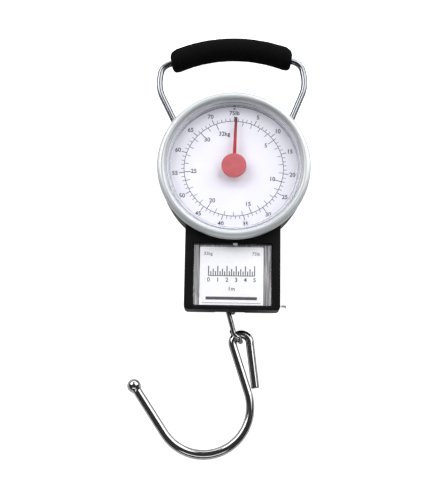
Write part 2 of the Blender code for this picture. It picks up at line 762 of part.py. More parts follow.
def handle_side():
    """The right leg in the plane of the handle, from inside the case up to the grip."""
    grip_end = grip_points(GRIP_HALF_ANGLE, 1)[0]
    points = rounded_corner(HANDLE_END, HANDLE_KNEE, HANDLE_SHOULDER, 0.0240, 6)
    points += rounded_corner(HANDLE_KNEE, HANDLE_SHOULDER, grip_end, 0.0086, 6)
    return points


def make_handle():
    bend = 0.0022
    along = (Vector(HANDLE_KNEE) - Vector(HANDLE_END)).normalized()
    side = []
    for back, down in ((0.0, 0.0078), (0.0, bend), (bend * 0.3, bend * 0.3), (bend, 0.0)):
        spot = Vector(HANDLE_END) + along * back
        side.append((spot.x, spot.y, HANDLE_Z - down))
    side += [(x, y, HANDLE_Z) for x, y in handle_side()]
    middle = [(x, y, HANDLE_Z) for x, y in grip_points(GRIP_HALF_ANGLE, 10)]
    left = [(-x, y, z) for x, y, z in reversed(side)]
    points = [leaned(point) for point in side + middle + left]
    return finish(wire("handle_wire", points, HANDLE_WIRE), CHROME)


def make_grip():
    grip_angle = GRIP_HALF_ANGLE + math.radians(0.9)
    outer = [leaned((x, y, HANDLE_Z)) for x, y in grip_points(grip_angle, 14)]
    longer = [leaned((x, y, HANDLE_Z)) for x, y in grip_points(grip_angle + 0.05, 16)]
    grip = wire("grip", outer, GRIP_RADIUS)
    cut(grip, wire("grip_bore", longer, HANDLE_WIRE + 0.0005, True))
    return finish(grip, BLACK_FOAM)


# ---------------------------------------------------------------- link and hook


def eye_points(centre, direction, radius, degrees, offset, steps):
    """Points round an upright ring whose far side faces `direction`, drawn out like a helix.

    The angle is 0 on the far side and 90 at the top. offset gives the sideways shift, to the
    right of the direction, at the first and the last angle.
    """
    along = Vector((math.sin(direction), -math.cos(direction), 0.0))
    across = Vector((math.cos(direction), math.sin(direction), 0.0))
    points = []
    for i in range(steps + 1):
        part = i / steps
        angle = math.radians(degrees[0] + (degrees[1] - degrees[0]) * part)
        point = Vector(centre) + along * radius * math.cos(angle)
        point.z += radius * math.sin(angle)
        points.append(point + across * (offset[0] + (offset[1] - offset[0]) * part))
    return points


def make_link():
    """A bent wire with an open eye at each end: one in the draw bar, one on the hook's loop."""
    along = Vector((math.sin(LINK_DIRECTION), -math.cos(LINK_DIRECTION), 0.0))
    upper = Vector((TONGUE_X, EYE_HOLE_Y, PLATE_Z + PLATE_THICKNESS / 2)) + along * UPPER_EYE_RADIUS
    lower = Vector(
        (
            HOOK_LOOP[0] + HOOK_LOOP_RADIUS * math.cos(LOWER_EYE_ANGLE),
            HOOK_LOOP[1] + HOOK_LOOP_RADIUS * math.sin(LOWER_EYE_ANGLE),
            LOWER_EYE_Z,
        )
    )
    lower_direction = LOWER_EYE_ANGLE - math.pi / 2
    points = eye_points(
        upper, LINK_DIRECTION, UPPER_EYE_RADIUS, (10, -250), (EYE_PITCH * 0.53, -EYE_PITCH * 0.2), 14
    )
    points += eye_points(
        lower, lower_direction, LOWER_EYE_RADIUS, (110, -160), (0.0, EYE_PITCH * 0.15), 14
    )
    return finish(wire("link", points, LINK_WIRE), CHROME)


def hook_height(y):
    """Height of the hook's wire: it lies on its bend and leans up to the link's lower eye."""
    low_y = HOOK_BEND[1] - HOOK_BEND_RADIUS
    slope = (LOWER_EYE_Z - HOOK_BEND_WIRE) / (HOOK_LOOP[1] - low_y)
    return HOOK_BEND_WIRE + 0.00005 + (y - low_y) * slope


def make_hook():
    """A steel wire bent into a closed loop at the top and an open hook with a ball tip."""
    loop_steps, down_steps, up_steps = 12, 13, 7
    outline = [HOOK_RETURN_END]
    outline += arc(HOOK_LOOP, HOOK_LOOP_RADIUS, -6, 198, loop_steps)
    outline += arc(HOOK_BEND, HOOK_BEND_RADIUS, 18, -147, down_steps + up_steps)
    outline.append(HOOK_TIP)
    swell = [1.0] * (loop_steps + 2)
    swell += [1 + (HOOK_BEND_WIRE / HOOK_WIRE - 1) * i / down_steps for i in range(down_steps)]
    for i in range(up_steps + 1):
        swell.append((HOOK_BEND_WIRE + (HOOK_ARM_WIRE - HOOK_BEND_WIRE) * i / up_steps) / HOOK_WIRE)
    swell.append(HOOK_ARM_WIRE / HOOK_WIRE)
    hook = wire("hook", [(x, y, hook_height(y)) for x, y in outline], HOOK_WIRE, swell=swell)
    bm = bmesh.new()
    place = Matrix.Translation((*HOOK_TIP, hook_height(HOOK_TIP[1])))
    bmesh.ops.create_uvsphere(bm, u_segments=16, v_segments=10, radius=HOOK_BALL_RADIUS, matrix=place)
    join(hook, from_bmesh("hook_ball", bm, True))
    return finish(hook, CHROME)


# ---------------------------------------------------------------- tape measure


def make_tray():
    """The floor of the tape's compartment, with the post that the reel turns on."""
    outline_low, outline_high = (-0.0217, -0.0712), (0.0217, -0.0395)
    tray = box("tape_tray", (*outline_low, TRAY_Z), (*outline_high, TRAY_Z + TRAY_THICKNESS))
    join(tray, cylinder("reel_post", (0, REEL_Y), 0.0015, (TRAY_Z + 0.0005, 0.0190), 16, True))
    for i, place in enumerate(CASE_SCREWS[2:]):
        cut(tray, cylinder(f"tray_boss_hole_{i}", place, BOSS_RADIUS + GAP, (0.0, 0.03), cutter=True))
    return finish(tray, GREY_PLASTIC)


def make_reel():
    """The reel: a thin flange under the tape, and the core that the tape is wound on."""
    flange_z = TRAY_Z + TRAY_THICKNESS + GAP
    profile = (
        (REEL_CORE_RADIUS, TAPE_Z[1]),
        (REEL_CORE_RADIUS, flange_z + 0.0004),
        (REEL_FLANGE_RADIUS, flange_z + 0.0004),
        (REEL_FLANGE_RADIUS, flange_z),
        (0.0019, flange_z),
        (0.0019, flange_z + 0.0004),
        (REEL_CORE_RADIUS - 0.0008, flange_z + 0.0004),
        (REEL_CORE_RADIUS - 0.0008, TAPE_Z[1]),
    )
    return finish(turned("tape_reel", profile, 36, closed=True, place=(0.0, REEL_Y)), GREY_PLASTIC)


def make_reel_spring():
    """A flat spiral spring between the post and the reel's core."""
    turns, per_turn = 4, 14
    count = turns * per_turn
    strip = bmesh.new()
    rows = []
    for i in range(count + 1):
        angle = 2 * math.pi * i / per_turn
        radius = 0.0022 + 0.0036 * i / count
        x, y = radius * math.cos(angle), REEL_Y + radius * math.sin(angle)
        rows.append([strip.verts.new((x, y, z)) for z in (0.0149, 0.0187)])
    for first, second in zip(rows, rows[1:]):
        strip.faces.new((first[0], second[0], second[1], first[1]))
    spring = from_bmesh("reel_spring", strip)
    thick = spring.modifiers.new("thickness", "SOLIDIFY")
    thick.thickness = 0.00025
    thick.offset = 0.0
    return finish(spring, SPRING_STEEL)


def make_tape():
    ring = (
        (COIL_RADIUS, TAPE_Z[1]),
        (COIL_RADIUS, TAPE_Z[0]),
        (COIL_INNER_RADIUS, TAPE_Z[0]),
        (COIL_INNER_RADIUS, TAPE_Z[1]),
    )
    coil = turned("tape_coil", ring, 36, closed=True, place=(0.0, REEL_Y))
    finish(coil, TAPE_WHITE)
    half = TAPE_THICKNESS / 2
    blade = box("tape_blade", (0.0, TAPE_Y - half, TAPE_Z[0]), (0.0240, TAPE_Y + half, TAPE_Z[1]))
    finish(blade, TAPE_WHITE, smooth=False)
    tab = box(
        "tape_tab",
        (0.0243, TAPE_Y - 0.0012, TAPE_Z[0] - 0.0002),
        (0.0268, TAPE_Y + 0.0004, TAPE_Z[1] + 0.0002),
        0.0004,
        1,
    )
    finish(tab, ZINC_STEEL, smooth=False)
    return coil, blade, tab


def make_lid():
    lid = box("tape_lid", (-0.0217, -0.0712, LID_Z), (0.0217, -0.0395, LID_Z + LID_THICKNESS))
    for i, place in enumerate(CASE_SCREWS[2:]):
        cut(lid, cylinder(f"lid_boss_hole_{i}", place, BOSS_RADIUS + GAP, (0.0, 0.03), cutter=True))
    return finish(lid, BLACK_PLASTIC, smooth=False)


def make_label():
    low = (LABEL_X[0], LABEL_Y[0], LABEL_Z[0])
    high = (LABEL_X[1], LABEL_Y[1], LABEL_Z[1])
    return finish(box("label_card", low, high, 0.0005, 1), WHITE_CARD, smooth=False)


def make_window():
    low = (-WINDOW_HALF_WIDTH, WINDOW_Y[0], WINDOW_Z[0])
    high = (WINDOW_HALF_WIDTH, WINDOW_Y[1], WINDOW_Z[1])
    return finish(box("tape_window", low, high, 0.0006, 1), CLEAR_PLASTIC, smooth=False)


# ---------------------------------------------------------------- assembly


def main():
    make_back_cover()
    make_front_housing()
    make_case_screws()
    make_hanger()
    make_springs()
    make_bridge()
    make_bush()
    make_handle()
    make_grip()
    make_tray()
    make_reel_spring()
    make_lid()
    make_label()
    make_window()
    axis_empty("zero_ring_axis", (0, 0, DIAL_Z), [make_bezel(), make_lens(), make_dial()])
    turning = [make_spindle(), make_pinion(), make_hub(), make_needle()]
    axis_empty("pointer_axis", (0, 0, DIAL_Z), turning)
    sliding = [make_draw_bar(), make_rack(), *make_rack_screws()]
    axis_empty("draw_axis", (TONGUE_X, EYE_HOLE_Y, PLATE_Z), sliding)
    axis_empty("link_axis", (TONGUE_X, EYE_HOLE_Y, PLATE_Z), [make_link()])
    axis_empty("hook_axis", (*HOOK_LOOP, LOWER_EYE_Z), [make_hook()])
    coil, blade, tab = make_tape()
    axis_empty("reel_axis", (0, REEL_Y, TAPE_Z[0]), [make_reel(), coil])
    axis_empty("tape_axis", (0, TAPE_Y, TAPE_Z[0]), [blade, tab])


main()
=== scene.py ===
"""The looks of a mechanical dial scale with a tape measure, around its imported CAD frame.

All lengths are in metres, in the frame of the CAD: the dial faces +Z, the handle points to +Y and
the hook to -Y, and the scale lies on its back on the floor at z = 0.
"""

import math

import bmesh
import bpy
from mathutils import Matrix, Vector, noise


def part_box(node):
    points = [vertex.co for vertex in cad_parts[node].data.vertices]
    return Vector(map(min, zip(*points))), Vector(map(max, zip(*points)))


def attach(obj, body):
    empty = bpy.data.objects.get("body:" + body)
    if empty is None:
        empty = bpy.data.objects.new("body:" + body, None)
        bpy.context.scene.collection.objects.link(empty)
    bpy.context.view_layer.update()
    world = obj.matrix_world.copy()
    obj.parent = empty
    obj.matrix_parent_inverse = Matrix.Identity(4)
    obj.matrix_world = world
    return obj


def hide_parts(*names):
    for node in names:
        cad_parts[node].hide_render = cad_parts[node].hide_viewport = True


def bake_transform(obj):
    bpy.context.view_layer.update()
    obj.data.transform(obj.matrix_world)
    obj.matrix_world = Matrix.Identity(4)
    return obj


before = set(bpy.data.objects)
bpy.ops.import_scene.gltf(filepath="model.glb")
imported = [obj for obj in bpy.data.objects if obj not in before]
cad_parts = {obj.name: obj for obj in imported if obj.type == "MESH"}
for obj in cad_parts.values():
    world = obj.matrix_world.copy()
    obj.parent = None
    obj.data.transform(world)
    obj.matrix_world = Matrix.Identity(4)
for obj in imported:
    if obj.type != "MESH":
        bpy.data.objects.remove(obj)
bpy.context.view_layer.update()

MM = 0.001
ROUND = 144  # sides of a large round piece
FULL_LOAD_LB = 75
FULL_TURN_KG = 360 / 10.582  # one turn of the pointer, in kg on the inner scale

# ---- sizes taken from the frame


def low_of(node):
    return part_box(node)[0]


def high_of(node):
    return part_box(node)[1]


BEZEL_RADIUS = high_of("bezel_ring").x
BEZEL_FRONT = high_of("bezel_ring").z
BEZEL_SKIRT = low_of("bezel_ring").z
BEZEL_INNER = 34.5 * MM
BEZEL_SKIRT_RADII = (35.2 * MM, 35.8 * MM)
DRUM_RADIUS = 37.4 * MM
WALL = 1.3 * MM
SPLIT_Z = high_of("back_cover").z
FACE_Z = high_of("front_housing").z
BODY_X = 23.8 * MM
BODY_BOTTOM = low_of("front_housing").y
FOOT_LEANS = (2.9 * MM, 0.7 * MM)  # how far the bottom wall leans in at the back and at the split
LENS_FRONT = high_of("lens").z
LENS_RADIUS = 34.1 * MM
LENS_FOOT_RADIUS = high_of("lens").x
DIAL_TOP = high_of("dial_plate").z
HUB_RADIUS = high_of("pointer_hub").x
HUB_FRONT = high_of("pointer_hub").z
NEEDLE_LOW = low_of("needle").z
NEEDLE_TIP = high_of("needle").y
NEEDLE_REST = math.radians(1.9)  # where the needle stands without a load
WINDOW_LOW, WINDOW_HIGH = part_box("tape_window")
LABEL_LOW, LABEL_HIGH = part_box("label_card")
BLADE_LOW, BLADE_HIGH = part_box("tape_blade")
TRAY_Z = low_of("tape_tray").z

HANDLE_Z = 10.2 * MM
HANDLE_WIRE = 1.65 * MM
HANDLE_LEAN = math.radians(2.1)
HANDLE_PIVOT = Vector((0.0, 14.0 * MM, 0.0))
HANDLE_END = Vector((25.2, 17.6)) * MM
HANDLE_KNEE = Vector((38.8, 48.2)) * MM
HANDLE_SHOULDER = Vector((36.9, 60.0)) * MM
GRIP_RADIUS = 6.1 * MM
GRIP_ARC = 74.0 * MM
GRIP_TOP_Y = 69.3 * MM
GRIP_HALF_ANGLE = math.radians(24.0)

EYE_HOLE = Vector((-1.5, -67.2, 7.4)) * MM
LINK_WIRE = 1.2 * MM
LINK_DIRECTION = math.radians(18)
UPPER_EYE = 3.4 * MM
LOWER_EYE = 3.7 * MM
EYE_PITCH = 3.6 * MM
HOOK_WIRE = 2.1 * MM
HOOK_BEND_WIRE = 2.5 * MM
HOOK_ARM_WIRE = 2.3 * MM
HOOK_LOOP = Vector((5.1, -86.9)) * MM
HOOK_LOOP_RADIUS = 4.4 * MM
HOOK_BEND = Vector((-13.3, -119.2)) * MM
HOOK_BEND_RADIUS = 23.2 * MM
HOOK_TIP = Vector((-48.1, -109.1)) * MM
HOOK_BALL = 3.5 * MM
HOOK_RETURN = Vector((12.4, -109.4)) * MM
LOWER_EYE_ANGLE = math.radians(132)
LOWER_EYE_Z = LOWER_EYE + LINK_WIRE

CASE_SCREWS = ((-8.0, 30.0), (8.0, 30.0), (-18.5, -64.0), (18.5, -64.0))
SPRING_X = 13.0 * MM
SPRING_Z = 9.0 * MM
SPRING_TOP_Y = 18.0 * MM
SPRING_BOTTOM_Y = -20.5 * MM
SPRING_RADIUS = 2.9 * MM
SPRING_WIRE = 0.5 * MM
TAPE_PULL = 1.0  # the pull that the blade's rest places are found for


# ---- material nodes


def filled(node, **values):
    """The node, with values on its inputs. An underscore stands for a space."""
    for socket, value in values.items():
        node.inputs[socket.replace("_", " ")].default_value = value
    return node


class Surface:
    """A Principled material whose colour, roughness and bump are driven by procedural patterns."""

    def __init__(self, name, colour, roughness, metallic=0.0, **sockets):
        self.material = bpy.data.materials.new(name)
        self.material.use_nodes = True
        self.tree = self.material.node_tree
        self.shader = self.tree.nodes["Principled BSDF"]
        self.colour = colour
        filled(self.shader, Base_Color=(*colour, 1.0), Roughness=roughness, Metallic=metallic, **sockets)
        self.place = self.tree.nodes.new("ShaderNodeTexCoord").outputs["Object"]
        self.heights = []

    def node(self, kind, **values):
        return filled(self.tree.nodes.new(f"ShaderNode{kind}"), **values)

    def link(self, source, target):
        self.tree.links.new(source, target)

    def stretched(self, scale):
        node = self.node("Mapping", Scale=scale)
        self.link(self.place, node.inputs["Vector"])
        return node.outputs["Vector"]

    def noise(self, scale, detail=4.0, stretch=(1.0, 1.0, 1.0)):
        node = self.node("TexNoise", Scale=scale, Detail=detail)
        self.link(self.stretched(stretch), node.inputs["Vector"])
        return node.outputs["Fac"]

    def cells(self, scale):
        node = self.node("TexVoronoi", Scale=scale)
        self.link(self.stretched((1.0, 1.0, 1.0)), node.inputs["Vector"])
        return node

    def ranged(self, source, low, high, start=0.3, end=0.7):
        """The pattern's values from start to end, as values from low to high."""
        node = self.node("MapRange", From_Min=start, From_Max=end, To_Min=low, To_Max=high)
        self.link(source, node.inputs["Value"])
        return node.outputs["Result"]

    def mixed(self, factor, first, second):
        node = self.node("Mix")
        node.data_type = "RGBA"
        self.link(factor, node.inputs["Factor"])
        for socket, value in ((node.inputs["A"], first), (node.inputs["B"], second)):
            if isinstance(value, tuple):
                socket.default_value = (*value, 1.0)
            else:
                self.link(value, socket)
        return node.outputs["Result"]

    def paint(self, source):
        self.link(source, self.shader.inputs["Base Color"])
        return self

    def mottled(self, scale, other, detail=4.0, stretch=(1.0, 1.0, 1.0)):
        """The colour drifts between the base and another one."""
        drift = self.ranged(self.noise(scale, detail, stretch), 0.0, 1.0)
        return self.paint(self.mixed(drift, self.colour, other))

    def rough(self, scale, low, high, stretch=(1.0, 1.0, 1.0)):
        source = self.ranged(self.noise(scale, 3.0, stretch), low, high)
        self.link(source, self.shader.inputs["Roughness"])
        return self

    def bumped(self, source, distance, strength=1.0):
        node = self.node("Bump", Distance=distance, Strength=strength)
        self.link(source, node.inputs["Height"])
        if self.heights:
            self.link(self.heights[-1].outputs["Normal"], node.inputs["Normal"])
        self.heights.append(node)
        self.link(node.outputs["Normal"], self.shader.inputs["Normal"])
        return self


def black_plastic():
    made = Surface("moulded_black_plastic", (0.0065, 0.0065, 0.0072), 0.3, Specular_IOR_Level=0.14)
    made.mottled(180, (0.0095, 0.0095, 0.0105)).rough(700, 0.30, 0.44)
    return made.bumped(made.noise(2600, 2.0), 0.00002, 0.5).material


def silver_paint():
    """Metallic lacquer: fine flakes over a cool grey that drifts a little."""
    made = Surface("silver_lacquer", (0.62, 0.65, 0.66), 0.36, 0.35, Coat_Weight=0.5, Coat_Roughness=0.15)
    flakes = made.ranged(made.cells(5200).outputs["Distance"], 0.0, 1.0, 0.05, 0.75)
    tone = made.mixed(made.ranged(made.noise(60), 0.0, 1.0), (0.60, 0.64, 0.65), (0.67, 0.70, 0.72))
    made.paint(made.mixed(flakes, tone, (0.75, 0.78, 0.80)))
    made.rough(900, 0.30, 0.42)
    return made.bumped(made.noise(1500, 2.0), 0.00002, 0.4).material


def clear_plastic(name, tint, roughness):
    """Clear moulded plastic. Lamps shine through it, so what lies under it is lit."""
    made = Surface(name, tint, roughness, 0.0, Transmission_Weight=1.0, IOR=1.46)
    made.rough(300, roughness, roughness + 0.02)
    path = made.node("LightPath")
    through = made.node("BsdfTransparent", Color=(0.95, 0.95, 0.96, 1.0))
    mix = made.node("MixShader")
    made.link(path.outputs["Is Shadow Ray"], mix.inputs["Fac"])
    made.link(made.shader.outputs["BSDF"], mix.inputs[1])
    made.link(through.outputs["BSDF"], mix.inputs[2])
    made.link(mix.outputs["Shader"], made.tree.nodes["Material Output"].inputs["Surface"])
    return made.material


def dial_white():
    made = Surface("dial_white", (0.88, 0.87, 0.93), 0.5)
    made.mottled(45, (0.91, 0.90, 0.95)).rough(500, 0.42, 0.55)
    return made.bumped(made.noise(1400, 2.0), 0.00001, 0.3).material


def ink(name, colour):
    made = Surface(name, colour, 0.5)
    other = tuple(min(1.0, c * 1.9 + 0.01) for c in colour)
    return made.mottled(2500, other).rough(900, 0.4, 0.6).material


def pointer_red():
    made = Surface("pointer_red", (0.49, 0.095, 0.105), 0.5)
    made.mottled(320, (0.56, 0.12, 0.13)).rough(700, 0.42, 0.58)
    return made.bumped(made.noise(1800, 2.0), 0.00003, 0.4).material


def needle_red():
    """Dark red, nearly black towards the tip."""
    made = Surface("needle_red", (0.50, 0.022, 0.035), 0.4)
    split = made.node("SeparateXYZ")
    made.link(made.place, split.inputs["Vector"])
    along = made.ranged(split.outputs["Y"], 0.0, 1.0, NEEDLE_TIP * 0.55, NEEDLE_TIP * 0.97)
    tone = made.mixed(made.ranged(made.noise(500), 0.0, 1.0), (0.50, 0.022, 0.035), (0.40, 0.018, 0.030))
    made.paint(made.mixed(along, tone, (0.070, 0.005, 0.010)))
    return made.rough(600, 0.35, 0.5).material


def plated(name, colour, roughness, fine=900, streak=(1.0, 1.0, 1.0)):
    """Plated or plain metal with faint drawing marks."""
    made = Surface(name, colour, roughness, 1.0)
    other = tuple(c * 0.86 for c in colour)
    made.mottled(160, other, stretch=streak).rough(420, roughness * 0.75, roughness * 1.35)
    return made.bumped(made.noise(fine, 3.0, streak), 0.000012, 0.35).material


def black_foam():
    """Closed-cell foam: soft cells, matte, nearly black."""
    made = Surface("black_foam", (0.0022, 0.0022, 0.0024), 0.93, Specular_IOR_Level=0.10)
    made.mottled(900, (0.0050, 0.0050, 0.0054))
    made.rough(900, 0.88, 0.97)
    made.bumped(made.ranged(made.cells(1500).outputs["Distance"], 0.0, 1.0, 0.0, 0.6), 0.00008, 0.6)
    return made.bumped(made.noise(260, 3.0), 0.00012, 0.5).material


def grey_plastic():
    made = Surface("grey_plastic", (0.26, 0.27, 0.28), 0.45)
    return made.mottled(200, (0.32, 0.33, 0.34)).rough(700, 0.38, 0.52).material


def rail_grey_painted_reflections():
    """Frosted grey plastic. The light streaks along its length are painted reflections."""
    made = Surface("rail_grey_painted_reflections", (0.08, 0.08, 0.083), 0.4)
    made.mottled(1300, (0.52, 0.51, 0.52), 3.0, (1.0, 0.05, 1.0)).rough(700, 0.32, 0.5)
    return made.bumped(made.noise(1400, 2.0, (1.0, 0.1, 1.0)), 0.00003, 0.4).material


def card_white():
    made = Surface("card_white", (0.95, 0.95, 0.96), 0.6)
    made.mottled(400, (0.91, 0.91, 0.93), 6.0)
    return made.bumped(made.noise(3500, 4.0), 0.00001, 0.4).material


def tape_white():
    made = Surface("tape_white", (0.80, 0.79, 0.72), 0.45)
    made.mottled(300, (0.76, 0.75, 0.67))
    return made.bumped(made.noise(2200, 3.0, (0.2, 1.0, 1.0)), 0.00001, 0.4).material


MATERIALS = {
    "black_plastic": black_plastic(),
    "silver_paint": silver_paint(),
    "clear_plastic": clear_plastic("clear_lens", (0.96, 0.965, 0.985), 0.0),
    "clear_window": clear_plastic("clear_window", (0.985, 0.985, 0.99), 0.01),
    "dial_white": dial_white(),
    "ink": ink("dial_ink", (0.010, 0.010, 0.014)),
    "label_ink": ink("label_ink", (0.045, 0.038, 0.044)),
    "needle_red": needle_red(),
    "hub_red": pointer_red(),
    "zinc_steel": plated("zinc_plate", (0.56, 0.57, 0.60), 0.34),
    "spring_steel": plated("spring_steel", (0.38, 0.39, 0.41), 0.30),
    "brass": plated("brass", (0.70, 0.50, 0.20), 0.30),
    "chrome_wire": plated("handle_chrome", (0.33, 0.345, 0.365), 0.16),
    "chrome_hook": plated("hook_chrome", (0.58, 0.565, 0.56), 0.12),
    "black_foam": black_foam(),
    "grey_plastic": grey_plastic(),
    "rail_grey_painted_reflections": rail_grey_painted_reflections(),
    "tape_white": tape_white(),
    "white_card": card_white(),
}


# ---- modelling helpers


def add(name, data):
    obj = bpy.data.objects.new(name, data)
    bpy.context.scene.collection.objects.link(obj)
    return obj


def from_bmesh(name, bm):
    bmesh.ops.recalc_face_normals(bm, faces=bm.faces)
    mesh = bpy.data.meshes.new(name)
    bm.to_mesh(mesh)
    bm.free()
    return add(name, mesh)


def dress(obj, look, angle=35):
    """Gives the object its material and smooth shading with sharp edges above the angle."""
    obj.data.materials.clear()
    obj.data.materials.append(MATERIALS[look])
    obj.data.shade_smooth()
    obj.data.set_sharp_from_angle(angle=math.radians(angle))
    return obj


def place_piece(obj, body, slot, nodes=(), look="", angle=35):
    """The piece rides on its body and stands for its CAD nodes. It looks like its slot unless
    another look is given."""
    dress(obj, look or slot, angle)
    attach(obj, body)
    if nodes:
        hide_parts(*nodes)
    return obj


def arc(centre, radius, start, end, steps):
    """Points on a circle from one angle to another, in degrees."""
    turns = [math.radians(start + (end - start) * i / steps) for i in range(steps + 1)]
    return [Vector((centre[0] + radius * math.cos(t), centre[1] + radius * math.sin(t))) for t in turns]


def rounded(points, radius, steps=6, closed=False):
    """The outline with each corner rounded. The radius is one number, or one for each point."""
    points = [Vector(p) for p in points]
    count = len(points)
    radii = list(radius) if isinstance(radius, (list, tuple)) else [radius] * count
    found = []
    for i, corner in enumerate(points):
        at_end = not closed and i in (0, count - 1)
        if at_end or radii[i] <= 0:
            found.append(corner)
            continue
        first = points[i - 1] - corner
        second = points[(i + 1) % count] - corner
        half = first.angle(second) / 2
        if half > math.radians(89.5):
            found.append(corner)
            continue
        reach = min(radii[i] / math.tan(half), 0.49 * first.length, 0.49 * second.length)
        first.normalize()
        second.normalize()
        centre = corner + (first + second).normalized() * reach / math.cos(half)
        start = corner + first * reach - centre
        turn = start.angle_signed(corner + second * reach - centre)
        for k in range(steps + 1):
            found.append(centre + Matrix.Rotation(-turn * k / steps, 2) @ start)
    return found


def turned(name, profile, sides=ROUND, closed=False, place=(0.0, 0.0)):
    """A piece turned about an upright axis: the profile holds (radius, z) points."""
    bm = bmesh.new()
    verts = [bm.verts.new((p[0], 0.0, p[1])) for p in profile]
    edges = [bm.edges.new(pair) for pair in zip(verts, verts[1:])]
    if closed:
        edges.append(bm.edges.new((verts[-1], verts[0])))
    turn = {"axis": (0, 0, 1), "cent": (0, 0, 0), "angle": 2 * math.pi, "steps": sides}
    bmesh.ops.spin(bm, geom=verts + edges, use_merge=True, **turn)
    bmesh.ops.remove_doubles(bm, verts=bm.verts, dist=1e-7)
    bmesh.ops.translate(bm, vec=(place[0], place[1], 0.0), verts=bm.verts)
    return from_bmesh(name, bm)


def lofted(name, rings, closed=False):
    """A skin over rings of points. It ends in flat caps, or runs round into its first ring."""
    bm = bmesh.new()
    rows = [[bm.verts.new(p) for p in ring] for ring in rings]
    pairs = list(zip(rows, rows[1:]))
    if closed:
        pairs.append((rows[-1], rows[0]))
    for first, second in pairs:
        for i in range(len(first)):
            k = (i + 1) % len(first)
            bm.faces.new((first[i], first[k], second[k], second[i]))
    if not closed:
        bm.faces.new(rows[0])
        bm.faces.new(rows[-1])
    return from_bmesh(name, bm)


def swept(name, stations, sides=28):
    """A round wire through (point, radius) stations, with flat ends."""
    points = [Vector(p) for p, _ in stations]
    last = len(points) - 1
    rings = []
    side = None
    for i, (point, radius) in enumerate(stations):
        along = (points[min(i + 1, last)] - points[max(i - 1, 0)]).normalized()
        if side is None:
            side = along.orthogonal()
        side = (side - along * side.dot(along)).normalized()
        other = along.cross(side)
        turns = [2 * math.pi * k / sides for k in range(sides)]
        rings.append([Vector(point) + (side * math.cos(t) + other * math.sin(t)) * radius for t in turns])
    return lofted(name, rings)


def smoothed(points, rounds):
    """The path with its kinks eased: each inner point moves to its neighbours' middle."""
    points = [Vector(p) for p in points]
    for _ in range(rounds):
        middle = [(a + 2 * b + c) / 4 for a, b, c in zip(points, points[1:], points[2:])]
        points = [points[0], *middle, points[-1]]
    return points


def spaced(points, step):
    """The same path with points at an even spacing."""
    points = [Vector(p) for p in points]
    found = [points[0]]
    carried = 0.0
    for a, b in zip(points, points[1:]):
        length = (b - a).length
        run = step - carried
        while run <= length:
            found.append(a.lerp(b, run / length))
            run += step
        carried = length - (run - step)
    if (found[-1] - points[-1]).length > step * 0.3:
        found.append(points[-1])
    return found


def plate(name, outline, low, high, edge, steps=3):
    """A flat plate with the given outline, whose top edge is rounded by `edge`."""
    rows = [(0.0, low)]
    for k in range(steps + 1):
        angle = math.pi / 2 * k / steps
        rows.append((edge * (1 - math.cos(angle)), high - edge + edge * math.sin(angle)))
    return upright(name, outline, rows)


def inset(outline, amount):
    """A closed anticlockwise outline, moved inwards."""
    if not amount:
        return [tuple(p) for p in outline]
    found = []
    count = len(outline)
    for i in range(count):
        before = (Vector(outline[i]) - Vector(outline[i - 1])).normalized()
        after = (Vector(outline[(i + 1) % count]) - Vector(outline[i])).normalized()
        normal = Vector((-before.y - after.y, before.x + after.x)).normalized()
        stretch = max(0.5, normal.dot(Vector((-after.y, after.x))))
        found.append(tuple(Vector(outline[i]) + normal * amount / stretch))
    return found


def rectangle(low, high, corner, steps=5):
    """A closed anticlockwise outline of a rectangle with round corners."""
    points = ((low[0], low[1]), (high[0], low[1]), (high[0], high[1]), (low[0], high[1]))
    return rounded(points, corner, steps, closed=True)


def cut(target, *cutters):
    """Takes the cutters' shapes out of the target, and removes the cutters."""
    combine(target, cutters, "DIFFERENCE")


def join(target, *others):
    combine(target, others, "UNION")


def combine(target, others, operation):
    for other in others:
        step = target.modifiers.new("step", "BOOLEAN")
        step.operation = operation
        step.solver = "EXACT"
        step.object = other
    bpy.context.view_layer.update()
    graph = bpy.context.evaluated_depsgraph_get()
    mesh = bpy.data.meshes.new_from_object(target.evaluated_get(graph))
    target.modifiers.clear()
    target.data = mesh
    for other in others:
        bpy.data.objects.remove(other, do_unlink=True)


def tidy(obj, distance=1e-6):
    """Merges points that fall together after cuts."""
    bm = bmesh.new()
    bm.from_mesh(obj.data)
    bmesh.ops.remove_doubles(bm, verts=bm.verts, dist=distance)
    bmesh.ops.dissolve_degenerate(bm, edges=bm.edges, dist=distance)
    bm.to_mesh(obj.data)
    bm.free()
    return obj


def merged(name, objects):
    """The objects' meshes as one object, in place."""
    bm = bmesh.new()
    graph = bpy.context.evaluated_depsgraph_get()
    for obj in objects:
        mesh = bpy.data.meshes.new_from_object(obj.evaluated_get(graph))
        mesh.transform(obj.matrix_world)
        bm.from_mesh(mesh)
        bpy.data.meshes.remove(mesh)
        bpy.data.objects.remove(obj, do_unlink=True)
    bmesh.ops.remove_doubles(bm, verts=bm.verts, dist=1e-8)
    return from_bmesh(name, bm)


def bar(start, end, width, low, high):
    """A thin printed line between two points, as an object to merge."""
    start, end = Vector(start), Vector(end)
    across = (end - start).normalized().orthogonal() * width / 2
    corners = (start - across, end - across, end + across, start + across)
    return lofted("bar", [[(p.x, p.y, z) for p in corners] for z in (low, high)])


def number(text, place, height, low, thickness, bold=0.0):
    """Figures laid flat and centred at a place, as an object to merge."""
    curve = bpy.data.curves.new("figures", "FONT")
    curve.body = text
    curve.align_x = "CENTER"
    curve.align_y = "CENTER"
    curve.size = height / 0.70
    curve.resolution_u = 3
    curve.extrude = thickness / 2
    curve.offset = bold
    obj = add("figures", curve)
    obj.location = (place[0], place[1], low + thickness / 2)
    bpy.context.view_layer.update()
    return obj


# ---- case


